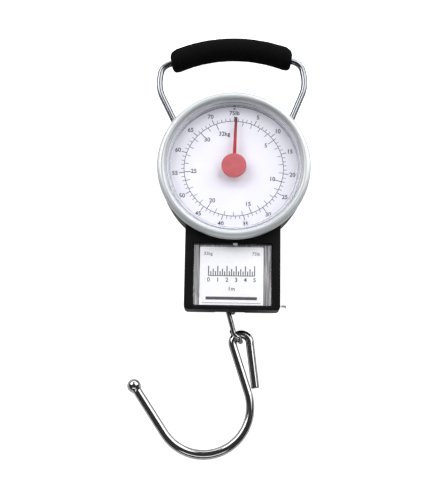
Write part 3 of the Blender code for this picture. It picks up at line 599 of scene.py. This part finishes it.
def case_outline(drum, steps=110):
    """The case seen from the front: the drum's circle with the tape compartment below it."""
    join_angle = math.degrees(math.acos(BODY_X / drum))
    round_part = arc((0, 0), drum, -join_angle, 180 + join_angle, steps)
    corner = 2.0 * MM
    left, right = Vector((-BODY_X, BODY_BOTTOM)), Vector((BODY_X, BODY_BOTTOM))
    last, first = round_part[-1], round_part[0]
    lower = rounded([last, left, right, first], [0, corner, corner, 0], 8)
    side = [last.lerp(lower[1], k / 6) for k in range(1, 6)]
    other = [lower[-2].lerp(first, k / 6) for k in range(1, 6)]
    return round_part + side + lower[1:-1] + other


def upright(name, outline, rows):
    """A closed solid over the outline: each row is (inset, z), from the bottom up."""
    return lofted(name, [[(x, y, z) for x, y in inset(outline, amount)] for amount, z in rows])


def lean_foot(shell):
    """Leans the case's bottom wall in towards the back."""
    reach = 4.0 * MM  # how far up the body the lean goes
    for vertex in shell.data.vertices:
        z = vertex.co.z
        if vertex.co.y > BODY_BOTTOM + reach:
            continue
        if z < SPLIT_Z:
            vertex.co.y += FOOT_LEANS[0] + (FOOT_LEANS[1] - FOOT_LEANS[0]) * z / SPLIT_Z
        else:
            vertex.co.y += FOOT_LEANS[1] * (FACE_Z - z) / (FACE_Z - SPLIT_Z)


def edge_rows(low, high, low_edge, high_edge, steps=4):
    """Rows of (inset, z) for a wall with rounded edges at its bottom and its top."""
    turns = [math.pi / 2 * k / steps for k in range(steps + 1)]
    rows = [(low_edge * (1 - math.sin(t)), low + low_edge * (1 - math.cos(t))) for t in turns]
    return rows + [(high_edge * (1 - math.cos(t)), high - high_edge * (1 - math.sin(t))) for t in turns]


def peg(name, place, radius, low, high, sides=40):
    return turned(name, ((0, low), (radius, low), (radius, high), (0, high)), sides, place=place)


def block(name, low, high, corner=0.0):
    outline = rectangle(low, high, corner)
    return lofted(name, [[(p[0], p[1], z) for p in outline] for z in (low[2], high[2])])


def link_slot():
    return block("slot", (-8.5 * MM, -75.0 * MM, 2.6 * MM), (6.5 * MM, -68.5 * MM, TRAY_Z - 0.1 * MM))


def handle_notch(side):
    """The hole in the drum's wall where a leg of the handle goes in."""
    half, deep = 2.9 * MM, 2.1 * MM
    notch = block("notch", (-half, -8.0 * MM, HANDLE_Z - deep), (half, 6.0 * MM, HANDLE_Z + deep))
    turn = Matrix.Rotation(math.radians(-24 * side), 4, "Z")
    notch.data.transform(Matrix.Translation((side * 28.2 * MM, 25.6 * MM, 0.0)) @ turn)
    return notch


def make_back_cover():
    outline = case_outline(DRUM_RADIUS)
    depth = 0.45  # the share of each inset below that is used
    rows = [(4.0, 0.0), (3.2, 0.1), (2.6, 0.9), (2.2, 2.2), (1.6, 4.0), (0.6, 8.2), (0.0, 10.75)]
    rows.append((0.12, 11.0))
    cover = upright("back_cover_shell", outline, [(a * MM * depth, z * MM) for a, z in rows])
    lean_foot(cover)
    hollow = turned("hollow", ((0, 2 * MM), (34.8 * MM, 2 * MM), (34.8 * MM, 12 * MM), (0, 12 * MM)))
    hollow_low = (-21.2 * MM, BODY_BOTTOM + 4.6 * MM, 2.0 * MM)
    lower = block("hollow", hollow_low, (21.2 * MM, -29 * MM, 12 * MM), 1.0 * MM)
    cut(cover, hollow, lower)
    for x, y in CASE_SCREWS:
        place = (x * MM, y * MM)
        join(cover, peg("boss", place, 2.6 * MM, 1.0 * MM, 10.7 * MM))
        head = peg("head", place, 2.75 * MM, -1.0 * MM, 1.7 * MM)
        cut(cover, head, peg("hole", place, 1.4 * MM, 1.2 * MM, 12 * MM))
    cut(cover, link_slot(), handle_notch(-1), handle_notch(1))
    place_piece(tidy(cover), "case", "black_plastic", ["back_cover"])


def make_front_housing():
    low = SPLIT_Z + 0.3 * MM
    outline = case_outline(DRUM_RADIUS)
    housing = upright("front_housing_shell", outline, edge_rows(low, FACE_Z, 0.15 * MM, 0.5 * MM))
    lean_foot(housing)
    inside = DRUM_RADIUS - WALL
    drum = turned("drum", ((0, 0), (inside, 0), (inside, 25 * MM), (0, 25 * MM)))
    tape = block("tape", (-22 * MM, -71.5 * MM, 0), (22 * MM, -32 * MM, 20.4 * MM))
    cut(tape, peg("limit", (0, 0), DRUM_RADIUS, -1 * MM, 30 * MM, ROUND))
    window = window_cutter()
    blade_middle = (BLADE_LOW.y + BLADE_HIGH.y) / 2
    slot_low = (20 * MM, blade_middle - 0.8 * MM, BLADE_LOW.z - 0.6 * MM)
    slot_high = (26 * MM, blade_middle + 0.8 * MM, BLADE_HIGH.z + 0.6 * MM)
    slot = block("slot", slot_low, slot_high)
    cut(housing, drum, tape, window, slot, link_slot(), handle_notch(-1), handle_notch(1))
    ledge = ((36.5, 19.4), (36.5, 17.9), (31.0, 17.9), (31.0, 19.4))
    join(housing, turned("ledge", [(r * MM, z * MM) for r, z in ledge], closed=True))
    place_piece(tidy(housing), "case", "black_plastic", ["front_housing"])


def window_cutter():
    """The opening over the tape compartment, with a soft edge and a shallow step round it."""
    gap = 0.3 * MM
    low = (WINDOW_LOW.x - gap, WINDOW_LOW.y - gap)
    high = (WINDOW_HIGH.x + gap, WINDOW_HIGH.y + gap)
    outline = rectangle(low, high, 0.7 * MM)
    rows = [(0.0, 19.5 * MM), (0.0, FACE_Z - 0.55 * MM)]
    rows += [(-0.35 * MM, FACE_Z - 0.2 * MM), (-0.7 * MM, FACE_Z + 0.2 * MM)]
    return upright("window_opening", outline, rows)


def make_case_screws():
    for i, (x, y) in enumerate(CASE_SCREWS):
        node = f"case_screw_{i + 1}"
        low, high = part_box(node)
        screw(f"{node}_detail", (x * MM, y * MM), low.z, high.z, node)


def screw(name, place, head_z, end_z, node):
    """A pan-head screw with a cross recess, its head to the back."""
    corners = ((0.0, 0.0), (2.15, 0.0), (2.4, 0.5), (2.4, 1.1), (1.1, 1.1))
    corners = [(r * MM, head_z + z * MM) for r, z in corners]
    head = rounded(corners, [0, 0.4 * MM, 0.3 * MM, 0.05 * MM, 0])
    shank = []
    turns = 14
    for k in range(turns):
        z = head_z + 1.5 * MM + (end_z - head_z - 2.5 * MM) * k / turns
        shank += [(1.1 * MM, z), (0.88 * MM, z + 0.4 * MM)]
    body = turned(name, [*head, *shank, (0.5 * MM, end_z - 0.3 * MM), (0.0, end_z)], 32, place=place)
    for angle in (45, 135):
        groove = block("groove", (-1.3 * MM, -0.28 * MM, -1.0 * MM), (1.3 * MM, 0.28 * MM, 0.55 * MM))
        turn = Matrix.Rotation(math.radians(angle), 4, "Z")
        groove.data.transform(Matrix.Translation((*place, head_z)) @ turn)
        cut(body, groove)
    place_piece(tidy(body), "case", "zinc_steel", [node])


# ---- dial, bezel, lens


def make_bezel():
    inner = BEZEL_INNER
    base = FACE_Z + 0.3 * MM
    crown = (
        (inner, base),
        (inner, BEZEL_FRONT - 1.5 * MM),
        (inner + 0.9 * MM, BEZEL_FRONT),
        (inner + 2.4 * MM, BEZEL_FRONT),
        (BEZEL_RADIUS - 0.2 * MM, BEZEL_FRONT - 1.0 * MM),
        (BEZEL_RADIUS, BEZEL_FRONT - 2.2 * MM),
        (BEZEL_RADIUS - 1.3 * MM, base),
        (BEZEL_SKIRT_RADII[1], base),
        (BEZEL_SKIRT_RADII[1], BEZEL_SKIRT),
        (BEZEL_SKIRT_RADII[0], BEZEL_SKIRT),
        (BEZEL_SKIRT_RADII[0], base),
    )
    radii = [0, 0.8, 1.2, 2.2, 1.4, 1.4, 0.4, 0.1, 0.2, 0.2, 0.1]
    profile = rounded(crown, [r * MM for r in radii], 8, closed=True)
    ring = turned("bezel", profile, closed=True)
    place_piece(ring, "zero_ring", "silver_paint", ["bezel_ring"], angle=40)


def make_lens():
    wall = 1.6 * MM
    radius = LENS_RADIUS
    foot = low_of("lens").z
    points = (
        (0.0, LENS_FRONT),
        (radius, LENS_FRONT),
        (radius, foot + 0.9 * MM),
        (LENS_FOOT_RADIUS, foot + 0.9 * MM),
        (LENS_FOOT_RADIUS, foot),
        (radius - wall, foot),
        (radius - wall, LENS_FRONT - 1.3 * MM),
        (0.0, LENS_FRONT - 1.3 * MM),
    )
    radii = (0, 1.1, 0.1, 0.2, 0.2, 0.1, 0.6, 0)
    lens = turned("dial_lens", rounded(points, [r * MM for r in radii], 8))
    place_piece(lens, "zero_ring", "clear_plastic", ["lens"])


def dial_point(angle, radius):
    """A point on the dial, at a clockwise angle in degrees from the top."""
    turn = math.radians(angle)
    return Vector((radius * math.sin(turn), radius * math.cos(turn)))


def make_dial():
    edge = high_of("dial_plate").x
    low = low_of("dial_plate").z
    hole = 2.6 * MM
    corners = ((hole, low), (edge, low), (edge, DIAL_TOP), (hole, DIAL_TOP))
    face = turned("dial_face", rounded(corners, 0.12 * MM, 3, closed=True), closed=True)
    place_piece(face, "zero_ring", "dial_white", ["dial_plate"])
    place_piece(dial_marks(), "zero_ring", "dial_white", look="ink")


def dial_marks():
    low, thick = DIAL_TOP + 0.005 * MM, 0.03 * MM
    high = low + thick
    circle = 25.2 * MM
    line = 0.28 * MM
    tall, bold = 2.15 * MM, 0.05 * MM
    inner, outer = circle - line / 2, circle + line / 2
    ring = ((inner, low), (outer, low), (outer, high), (inner, high))
    marks = [turned("ring", ring, closed=True)]

    def tick(angle, end, major):
        width = line * (1.15 if major else 0.9)
        marks.append(bar(dial_point(angle, circle), dial_point(angle, end), width, low, high))

    for pound in range(FULL_LOAD_LB):
        angle = 360 * pound / FULL_LOAD_LB
        major = pound % 5 == 0
        tick(angle, (27.9 if major else 26.8) * MM, major)
        if major:
            text = f"{pound}" if pound else f"{FULL_LOAD_LB}lb"
            place = dial_point(angle, (29.9 if pound else 29.5) * MM)
            marks.append(number(text, place, tall, low, thick, bold))
    for kilo in range(1, 33):
        angle = 360 * kilo / FULL_TURN_KG
        full = kilo == 32
        major = kilo % 5 == 0 or full
        tick(angle, (21.8 if major else 22.9) * MM, major)
        if major:
            place = dial_point(angle, 20.3 * MM)
            if full:
                place = dial_point(angle + 1.5, 19.4 * MM) + Vector((1.6 * MM, 0))
            marks.append(number("32kg" if full else f"{kilo}", place, tall, low, thick, bold))
    pip = 31.9 * MM
    marks.append(bar(dial_point(0, pip - 0.35 * MM), dial_point(0, pip + 0.35 * MM), 1.1 * MM, low, high))
    return merged("dial_marks", marks)


# ---- pointer


def make_pointer():
    stem, bore, bore_top = 2.0 * MM, 1.3 * MM, 24.9 * MM
    low = NEEDLE_LOW + 1.0 * MM
    foot = low_of("pointer_hub").z
    points = (
        (0.0, HUB_FRONT - 0.12 * MM),
        (HUB_RADIUS * 0.55, HUB_FRONT),
        (HUB_RADIUS, HUB_FRONT - 0.05 * MM),
        (HUB_RADIUS, low),
        (stem, low),
        (stem, foot),
        (bore, foot),
        (bore, bore_top),
        (0.0, bore_top),
    )
    radii = [0, 2.0 * MM, 0.4 * MM, 0.1 * MM, 0, 0.1 * MM, 0, 0, 0]
    hub = turned("hub_cap", rounded(points, radii), 96)
    place_piece(hub, "pointer", "hub_red", ["pointer_hub"])
    make_needle()


def make_needle():
    """A thin tapered blade with a ring round the hub's stem, a little past the dial's zero."""
    ring_radius = 4.8 * MM
    base, tip = 0.9 * MM, 0.66 * MM
    foot = math.degrees(math.asin(base / ring_radius))
    outline = arc((0, 0), ring_radius, 90 + foot, 450 - foot, 48)
    sides = ((base, ring_radius), (tip, NEEDLE_TIP), (-tip, NEEDLE_TIP), (-base, ring_radius))
    outline += rounded(sides, 0.3 * MM, 4)
    blade = plate("pointer_needle", outline, NEEDLE_LOW, NEEDLE_LOW + 0.7 * MM, 0.12 * MM)
    cut(blade, peg("bore", (0, 0), 2.3 * MM, 20 * MM, 30 * MM))
    blade.data.transform(Matrix.Rotation(-NEEDLE_REST, 4, "Z"))
    place_piece(tidy(blade), "pointer", "needle_red", ["needle"])


# ---- handle


def leaned(point):
    """The point turned with the handle, which leans a little to the left."""
    turned_by = Matrix.Rotation(HANDLE_LEAN, 3, "Z")
    return HANDLE_PIVOT + turned_by @ (Vector(point) - HANDLE_PIVOT)


def grip_arc(half_angle, steps):
    degrees = math.degrees(half_angle)
    return arc((0.0, GRIP_TOP_Y - GRIP_ARC), GRIP_ARC, 90 - degrees, 90 + degrees, steps)


def make_handle():
    grip_end = grip_arc(GRIP_HALF_ANGLE, 1)[0]
    corners = [HANDLE_END, HANDLE_KNEE, HANDLE_SHOULDER, grip_end]
    leg = rounded(corners, [0, 24 * MM, 8.6 * MM, 0], 24)
    along = (HANDLE_KNEE - HANDLE_END).normalized()
    bend = 2.2 * MM
    side = [(HANDLE_END.x, HANDLE_END.y, HANDLE_Z - 7.8 * MM)]
    for k in range(9):
        angle = math.pi / 2 * k / 8
        spot = HANDLE_END + along * bend * (1 - math.cos(angle))
        side.append((spot.x, spot.y, HANDLE_Z - bend * (1 - math.sin(angle))))
    side += [(p.x, p.y, HANDLE_Z) for p in leg[1:]]
    middle = [(p.x, p.y, HANDLE_Z) for p in grip_arc(GRIP_HALF_ANGLE, 40)[1:-1]]
    left = [(-x, y, z) for x, y, z in reversed(side)]
    path = spaced([leaned(p) for p in side + middle + left], 0.6 * MM)
    wire = swept("handle_bow", capped(path, HANDLE_WIRE, 0.3 * MM), 32)
    place_piece(wire, "case", "chrome_wire", ["handle_wire"])


def capped(path, radius, chamfer):
    """Stations along a wire of one radius, with a small chamfer at each flat end."""
    stations = [(p, radius) for p in path[1:-1]]
    first = path[0].lerp(path[1], min(1.0, chamfer / (path[1] - path[0]).length))
    last = path[-1].lerp(path[-2], min(1.0, chamfer / (path[-2] - path[-1]).length))
    start = [(path[0], radius - chamfer), (first, radius)]
    return start + stations[1:-1] + [(last, radius), (path[-1], radius - chamfer)]


def make_grip():
    """A foam sleeve on the bow: round slanted ends, a snug bore, and a soft uneven skin."""
    half = (GRIP_HALF_ANGLE + math.radians(0.9)) * GRIP_ARC + 0.6 * MM
    slant = 1.5 * MM
    bore = HANDLE_WIRE + 0.25 * MM
    end = ((0.0, bore), (0.0, 3.3 * MM), (0.9 * MM, GRIP_RADIUS - 0.8 * MM), (3.6 * MM, GRIP_RADIUS))
    section = [(back - half, radius) for back, radius in end]
    section += [(half - back, radius) for back, radius in reversed(end)]
    corners = [0.5, 2.0, 2.4, 3.5, 3.5, 2.4, 2.0, 0.5]
    section = rounded(section, [r * MM for r in corners], 8, closed=True)
    section = spaced([*section, section[0]], 0.5 * MM)[:-1]
    rings = []
    sides = 72
    centre = Vector((0.0, GRIP_TOP_Y - GRIP_ARC, HANDLE_Z))
    for run, radius in section:
        ring = []
        for k in range(sides):
            turn = 2 * math.pi * k / sides
            slanted = run * (1 - slant / half * math.cos(turn) * radius / GRIP_RADIUS)
            angle = math.pi / 2 - slanted / GRIP_ARC
            outward = Vector((math.cos(angle), math.sin(angle), 0.0))
            spoke = outward * math.cos(turn) + Vector((0, 0, 1)) * math.sin(turn)
            spot = centre + outward * GRIP_ARC
            seed = spot + spoke * radius
            skin = 0.0
            if radius > bore + 1 * MM:
                skin = 0.10 * MM * noise.noise(seed * 220) + 0.05 * MM * noise.noise(seed * 900)
            ring.append(leaned(spot + spoke * (radius + skin - 0.06 * MM)))
        rings.append(ring)
    sleeve = lofted("grip_sleeve", rings, closed=True)
    place_piece(sleeve, "case", "black_foam", ["grip"], angle=60)


# ---- link and hook


def eye(centre, direction, radius, degrees, offset, steps):
    """Points round an upright ring whose far side faces the direction, drawn out like a helix."""
    along = Vector((math.sin(direction), -math.cos(direction), 0.0))
    across = Vector((math.cos(direction), math.sin(direction), 0.0))
    found = []
    for i in range(steps + 1):
        share = i / steps
        angle = math.radians(degrees[0] + (degrees[1] - degrees[0]) * share)
        point = Vector(centre) + along * radius * math.cos(angle)
        point.z += radius * math.sin(angle)
        found.append(point + across * (offset[0] + (offset[1] - offset[0]) * share))
    return found


def make_link():
    along = Vector((math.sin(LINK_DIRECTION), -math.cos(LINK_DIRECTION), 0.0))
    upper = EYE_HOLE + along * UPPER_EYE
    reach = Vector((math.cos(LOWER_EYE_ANGLE), math.sin(LOWER_EYE_ANGLE))) * HOOK_LOOP_RADIUS
    lower = Vector((*(HOOK_LOOP + reach), LOWER_EYE_Z))
    path = eye(upper, LINK_DIRECTION, UPPER_EYE, (-60, -250), (EYE_PITCH * 0.3, -EYE_PITCH * 0.45), 48)
    path += eye(lower, LOWER_EYE_ANGLE - math.pi / 2, LOWER_EYE, (110, -160), (0.0, EYE_PITCH * 0.15), 48)
    path = smoothed(spaced(path, 0.3 * MM), 6)
    wire = swept("link_wire", capped(path, LINK_WIRE, 0.2 * MM), 24)
    place_piece(wire, "link", "chrome_wire", ["link"], "chrome_hook")


def hook_height(y):
    """Height of the hook's wire: it lies on its bend and leans up to the link's lower eye."""
    low_y = HOOK_BEND.y - HOOK_BEND_RADIUS
    slope = (LOWER_EYE_Z - HOOK_BEND_WIRE) / (HOOK_LOOP.y - low_y)
    return HOOK_BEND_WIRE + 0.05 * MM + (y - low_y) * slope


def hook_radius(place):
    """The wire's radius: thin on the loop, thickest at the bottom of the bend."""
    angle = math.degrees(math.atan2(place.y - HOOK_BEND.y, place.x - HOOK_BEND.x))
    if angle > 120:
        angle -= 360
    share = min(1.0, max(0.0, (18 - angle) / 165))
    bottom = 0.65
    if share < bottom:
        return HOOK_WIRE + (HOOK_BEND_WIRE - HOOK_WIRE) * share / bottom
    return HOOK_BEND_WIRE + (HOOK_ARM_WIRE - HOOK_BEND_WIRE) * (share - bottom) / (1 - bottom)


def make_hook():
    """A wire bent into a loop and an open hook. Its tip swells into a ball."""
    outline = [HOOK_RETURN]
    outline += arc(HOOK_LOOP, HOOK_LOOP_RADIUS, -6, 198, 60)
    outline += arc(HOOK_BEND, HOOK_BEND_RADIUS, 18, -147, 120)
    outline.append(HOOK_TIP)
    path = spaced([(p.x, p.y, hook_height(p.y)) for p in outline], 0.5 * MM)
    path = smoothed(path, 4)
    tip = Vector((*HOOK_TIP, hook_height(HOOK_TIP.y)))
    along = (tip - path[-6]).normalized()
    neck = math.sqrt(HOOK_BALL**2 - HOOK_ARM_WIRE**2)
    shank = [p for p in path if (p - tip).length > neck + 1.2 * MM]
    chamfer = 0.25 * MM
    stations = [(shank[0], HOOK_WIRE - chamfer), (shank[0].lerp(shank[1], 0.5), HOOK_WIRE)]
    stations += [(p, hook_radius(p)) for p in shank[1:]]
    stations.append((tip - along * (neck + 0.5 * MM), HOOK_ARM_WIRE + 0.04 * MM))
    stations.append((tip - along * neck, HOOK_ARM_WIRE + 0.22 * MM))
    start = math.pi - math.asin((HOOK_ARM_WIRE + 0.45 * MM) / HOOK_BALL)
    steps = 22
    for k in range(steps + 1):
        angle = start + (math.radians(3) - start) * k / steps
        stations.append((tip + along * HOOK_BALL * math.cos(angle), HOOK_BALL * math.sin(angle)))
    hook = swept("hook_wire", stations, 36)
    place_piece(hook, "hook", "chrome_hook", ["hook"], angle=50)


# ---- tape measure


def make_window():
    """The clear cover: a plate with rounded edges."""
    rows = edge_rows(WINDOW_LOW.z, WINDOW_HIGH.z, 0.1 * MM, 0.35 * MM)
    cover = upright("window_cover", rectangle(WINDOW_LOW, WINDOW_HIGH, 0.6 * MM), rows)
    place_piece(cover, "case", "clear_plastic", ["tape_window"], "clear_window")


def make_rails():
    """Ribbed strips beside the label under the window, streaked with painted reflections, and the window's
    catch, painted white as a highlight.
    """
    base = LABEL_LOW.z
    gap = 0.3 * MM
    left = ("left", WINDOW_LOW.x + gap, LABEL_LOW.x - gap)
    right = ("right", LABEL_HIGH.x + gap, WINDOW_HIGH.x - gap)
    for side, start, end in (left, right):
        ribs = 4
        ridge = [(end, base), (start, base)]
        for k in range(2 * ribs + 1):
            up = (0.38 if k % 2 else 0.18) * MM
            ridge.append((start + (end - start) * k / (2 * ribs), base + up))
        ends = (LABEL_LOW.y, WINDOW_HIGH.y - gap)
        strip = lofted(f"{side}_rail", [[(x, y, z) for x, z in ridge] for y in ends])
        place_piece(strip, "case", "grey_plastic", look="rail_grey_painted_reflections", angle=20)
    head = rectangle((LABEL_LOW.x, LABEL_HIGH.y + gap / 2), (LABEL_HIGH.x, WINDOW_HIGH.y - gap), 0.2 * MM)
    strip = upright("top_rail", head, edge_rows(base, base + 0.3 * MM, 0.05 * MM, 0.12 * MM))
    place_piece(strip, "case", "grey_plastic", look="rail_grey_painted_reflections")
    # The catch is clear plastic; its white card look is a painted highlight, standing for the glint on its
    # glossy face.
    catch_low = (0.1 * MM, WINDOW_HIGH.y - 0.6 * MM)
    catch_high = (2.4 * MM, WINDOW_HIGH.y + 0.5 * MM)
    rows = edge_rows(FACE_Z + 0.02 * MM, FACE_Z + 0.5 * MM, 0.05 * MM, 0.25 * MM)
    catch = upright("window_catch_painted_highlight", rectangle(catch_low, catch_high, 0.3 * MM), rows)
    place_piece(catch, "case", "clear_plastic", look="white_card")


def make_label():
    rows = edge_rows(LABEL_LOW.z, LABEL_HIGH.z, 0, 0.05 * MM, 2)
    card = upright("label", rectangle(LABEL_LOW, LABEL_HIGH, 0.5 * MM), rows)
    place_piece(card, "case", "white_card", ["label_card"])
    place_piece(label_marks(), "case", "white_card", look="label_ink")


def label_marks():
    """Plain figures and rules: a short ruler with its numbers, two limits and two lines."""
    base, thick = LABEL_HIGH.z + 0.005 * MM, 0.02 * MM
    top = base + thick
    width = LABEL_HIGH.x - LABEL_LOW.x
    height = LABEL_HIGH.y - LABEL_LOW.y

    def spot(across, up):
        return Vector((LABEL_LOW.x + width * across, LABEL_LOW.y + height * up))

    limits = (("32kg", 0.13), ("75lb", 0.88))
    marks = [number(text, spot(x, 0.88), 1.6 * MM, base, thick, 0.02 * MM) for text, x in limits]
    ruler_low, ruler_high = spot(0.14, 0.50), spot(0.86, 0.50)
    marks.append(bar(ruler_low, ruler_high, 0.35 * MM, base, top))
    steps = 20
    for k in range(steps + 1):
        foot = ruler_low.lerp(ruler_high, k / steps)
        tall = (5.0 if k % 4 == 0 else 3.5 if k % 2 == 0 else 2.3) * MM
        marks.append(bar(foot, foot + Vector((0, tall)), 0.5 * MM, base, top))
        if k % 4 == 0:
            marks.append(number(str(k // 4), foot + Vector((0, -2.1 * MM)), 2.1 * MM, base, thick, 0.05 * MM))
    marks.append(number("1m", spot(0.5, 0.275), 2.0 * MM, base, thick, 0.04 * MM))
    marks.append(bar(spot(0.10, 0.115), spot(0.90, 0.115), 1.5 * MM, base, top))
    marks.append(bar(spot(0.04, 0.035), spot(0.96, 0.035), 0.2 * MM, base, top))
    return merged("label_print", marks)


def rest_place(out):
    """Where a point of the pulled-out tape lies at rest."""
    length = BLADE_HIGH.x - BLADE_LOW.x
    low, high = 0.0, 1.0
    for _ in range(50):
        share = (low + high) / 2
        if share * length + share * share * (3 - 2 * share) * TAPE_PULL < out:
            low = share
        else:
            high = share
    return BLADE_LOW.x + low * length


def make_blade():
    """The tape between the reel and its tab. Its columns and ruler marks sit at the rest places of a tape
    pulled one metre out.
    """
    length = BLADE_HIGH.x - BLADE_LOW.x
    full = length + TAPE_PULL
    front, back = BLADE_LOW.y, BLADE_HIGH.y
    base, top = BLADE_LOW.z, BLADE_HIGH.z
    columns = 240
    rings = []
    for k in range(columns + 1):
        x = rest_place(full * k / columns)
        rings.append([(x, y, z) for y, z in ((front, base), (front, top), (back, top), (back, base))])
    blade = lofted("blade", rings)
    marks = []
    skin = 0.02 * MM
    for k in range(1, 200):
        x = length + k * 5 * MM
        tall = (3.4 if k % 10 == 0 else 2.2 if k % 2 == 0 else 1.4) * MM
        near, far = front - skin, front + skin
        corners = ((near, top - tall), (near, top), (far, top), (far, top - tall))
        edges = (rest_place(x - 0.15 * MM), rest_place(x + 0.15 * MM))
        marks.append(lofted("mark", [[(edge, y, z) for y, z in corners] for edge in edges]))
    ink_marks = merged("blade_marks", marks)
    dress(ink_marks, "ink")
    dress(blade, "tape_white")
    for piece in (blade, ink_marks):
        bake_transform(piece)
    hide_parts("tape_blade")


def make_tab():
    """The tape's end piece: a thin strip bent at a right angle."""
    middle = (BLADE_LOW.y + BLADE_HIGH.y) / 2
    low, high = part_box("tape_tab")
    fold = high.x - 0.3 * MM
    path = rounded(((low.x, middle), (fold, middle), (fold, low.y + 0.25 * MM)), [0, 0.8 * MM, 0], 8)
    shift = 0.21 * MM
    outline = [(p.x, p.y) for p in path]
    outline += [(p.x + shift, p.y + shift) for p in reversed(path)]
    tab = lofted("pull_tab", [[(x, y, z) for x, y in outline] for z in (low.z, high.z)])
    place_piece(tab, "tape", "zinc_steel", ["tape_tab"])


# ---- springs


def make_springs():
    for node, side in (("main_spring_left", -1), ("main_spring_right", 1)):
        x = side * SPRING_X
        low = low_of(node).z + 0.2 * MM
        bend = 1.4 * MM
        end = [(0.0, low), (0.0, SPRING_Z - 1.0 * MM), (0.5 * MM, SPRING_Z - 0.2 * MM), (bend, SPRING_Z)]
        path = [(x, SPRING_TOP_Y - back, z) for back, z in end]
        turns, per_turn = 12, 20
        count = turns * per_turn
        for i in range(count + 1):
            fade = min(1.0, i / (per_turn / 2), (count - i) / (per_turn / 2))
            angle = 2 * math.pi * i / per_turn
            y = 11.5 * MM - 25.0 * MM * i / count
            radius = SPRING_RADIUS * fade
            path.append((x + radius * math.sin(angle), y, SPRING_Z + radius * math.cos(angle)))
        path += [(x, SPRING_BOTTOM_Y + back, z) for back, z in reversed(end)]
        coil = swept(f"{node}_coil", [(p, SPRING_WIRE) for p in path], 10)
        dress(coil, "spring_steel")
        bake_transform(coil)
        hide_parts(node)


# ---- the frame's own nodes


def dress_frame():
    """Every CAD node that still shows takes the material of its slot in the record."""
    screws = ("bridge_screw_1", "bridge_screw_2", "rack_screw_1", "rack_screw_2")
    looks = {
        "zinc_steel": ("hanger_plate", "draw_bar", "bridge_plate", "rack", "spindle", *screws),
        "brass": ("spindle_bush", "pinion"),
        "spring_steel": ("reel_spring",),
        "grey_plastic": ("tape_tray", "tape_reel"),
        "tape_white": ("tape_coil",),
        "black_plastic": ("tape_lid",),
    }
    for look, nodes in looks.items():
        for node in nodes:
            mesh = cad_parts[node].data
            mesh.materials.clear()
            mesh.materials.append(MATERIALS[look])


# ---- studio


def make_floor():
    bm = bmesh.new()
    bmesh.ops.create_grid(bm, x_segments=2, y_segments=2, size=1.5)
    bmesh.ops.translate(bm, vec=(0, 0, -0.0002), verts=bm.verts)
    floor = from_bmesh("floor", bm)
    made = Surface("floor_white", (0.90, 0.90, 0.90), 0.9)
    made.mottled(3, (0.92, 0.92, 0.92))
    glow = made.node("Emission")
    total = made.node("AddShader")
    path = made.node("LightPath")
    made.link(path.outputs["Is Camera Ray"], glow.inputs["Strength"])
    made.link(made.shader.outputs["BSDF"], total.inputs[0])
    made.link(glow.outputs["Emission"], total.inputs[1])
    made.link(total.outputs["Shader"], made.tree.nodes["Material Output"].inputs["Surface"])
    floor.data.materials.append(made.material)


def softbox(name, place, size, power, aim=(0.0, -0.02, 0.0)):
    light = bpy.data.lights.new(name, "AREA")
    light.shape = "RECTANGLE"
    light.size, light.size_y = size
    light.energy = power
    obj = add(name, light)
    obj.location = place
    obj.rotation_mode = "QUATERNION"
    obj.rotation_quaternion = (Vector(aim) - Vector(place)).to_track_quat("-Z", "Y")


def make_lights():
    world = bpy.data.worlds.new("studio")
    bpy.context.scene.world = world
    world.use_nodes = True
    tree = world.node_tree
    dim = filled(tree.nodes["Background"], Color=(0.9, 0.95, 1.0, 1.0), Strength=0.055)
    backdrop = filled(tree.nodes.new("ShaderNodeBackground"), Color=(1.0, 1.0, 1.0, 1.0))
    path = tree.nodes.new("ShaderNodeLightPath")
    mix = tree.nodes.new("ShaderNodeMixShader")
    tree.links.new(path.outputs["Is Camera Ray"], mix.inputs["Fac"])
    tree.links.new(dim.outputs["Background"], mix.inputs[1])
    tree.links.new(backdrop.outputs["Background"], mix.inputs[2])
    tree.links.new(mix.outputs["Shader"], tree.nodes["World Output"].inputs["Surface"])
    softbox("key", (0.70, 0.60, 0.75), (1.2, 1.2), 11.5)
    softbox("fill", (-0.65, 0.45, 0.70), (0.7, 0.7), 5.5)
    softbox("back", (0.0, 0.95, 0.40), (1.2, 0.4), 3.2)
    softbox("front", (0.0, -0.90, 0.70), (0.9, 0.22), 1.3)


def make_camera():
    """From above, tipped 14 degrees towards the hook, and turned a little on its own axis."""
    tilt, roll = math.radians(14), math.radians(0.9)
    distance = 0.6
    aim = Vector((-0.00708, -0.03767, 0.0))
    forward = Vector((0, math.sin(tilt), -math.cos(tilt)))
    right = Vector((1, 0, 0))
    up = right.cross(forward)
    turned_right = right * math.cos(roll) + up * math.sin(roll)
    turned_up = up * math.cos(roll) - right * math.sin(roll)
    data = bpy.data.cameras.new("camera")
    data.lens = 83.6
    data.sensor_width = 36
    camera = add("camera", data)
    matrix = Matrix((turned_right, turned_up, -forward)).transposed().to_4x4()
    camera.matrix_world = Matrix.Translation(aim - forward * distance) @ matrix
    bpy.context.scene.camera = camera
    bpy.context.scene.view_settings.view_transform = "Standard"


make_camera()
make_lights()
make_floor()
dress_frame()
make_back_cover()
make_front_housing()
make_case_screws()
make_bezel()
make_lens()
make_dial()
make_pointer()
make_handle()
make_grip()
make_link()
make_hook()
make_window()
make_rails()
make_label()
make_blade()
make_tab()
make_springs()
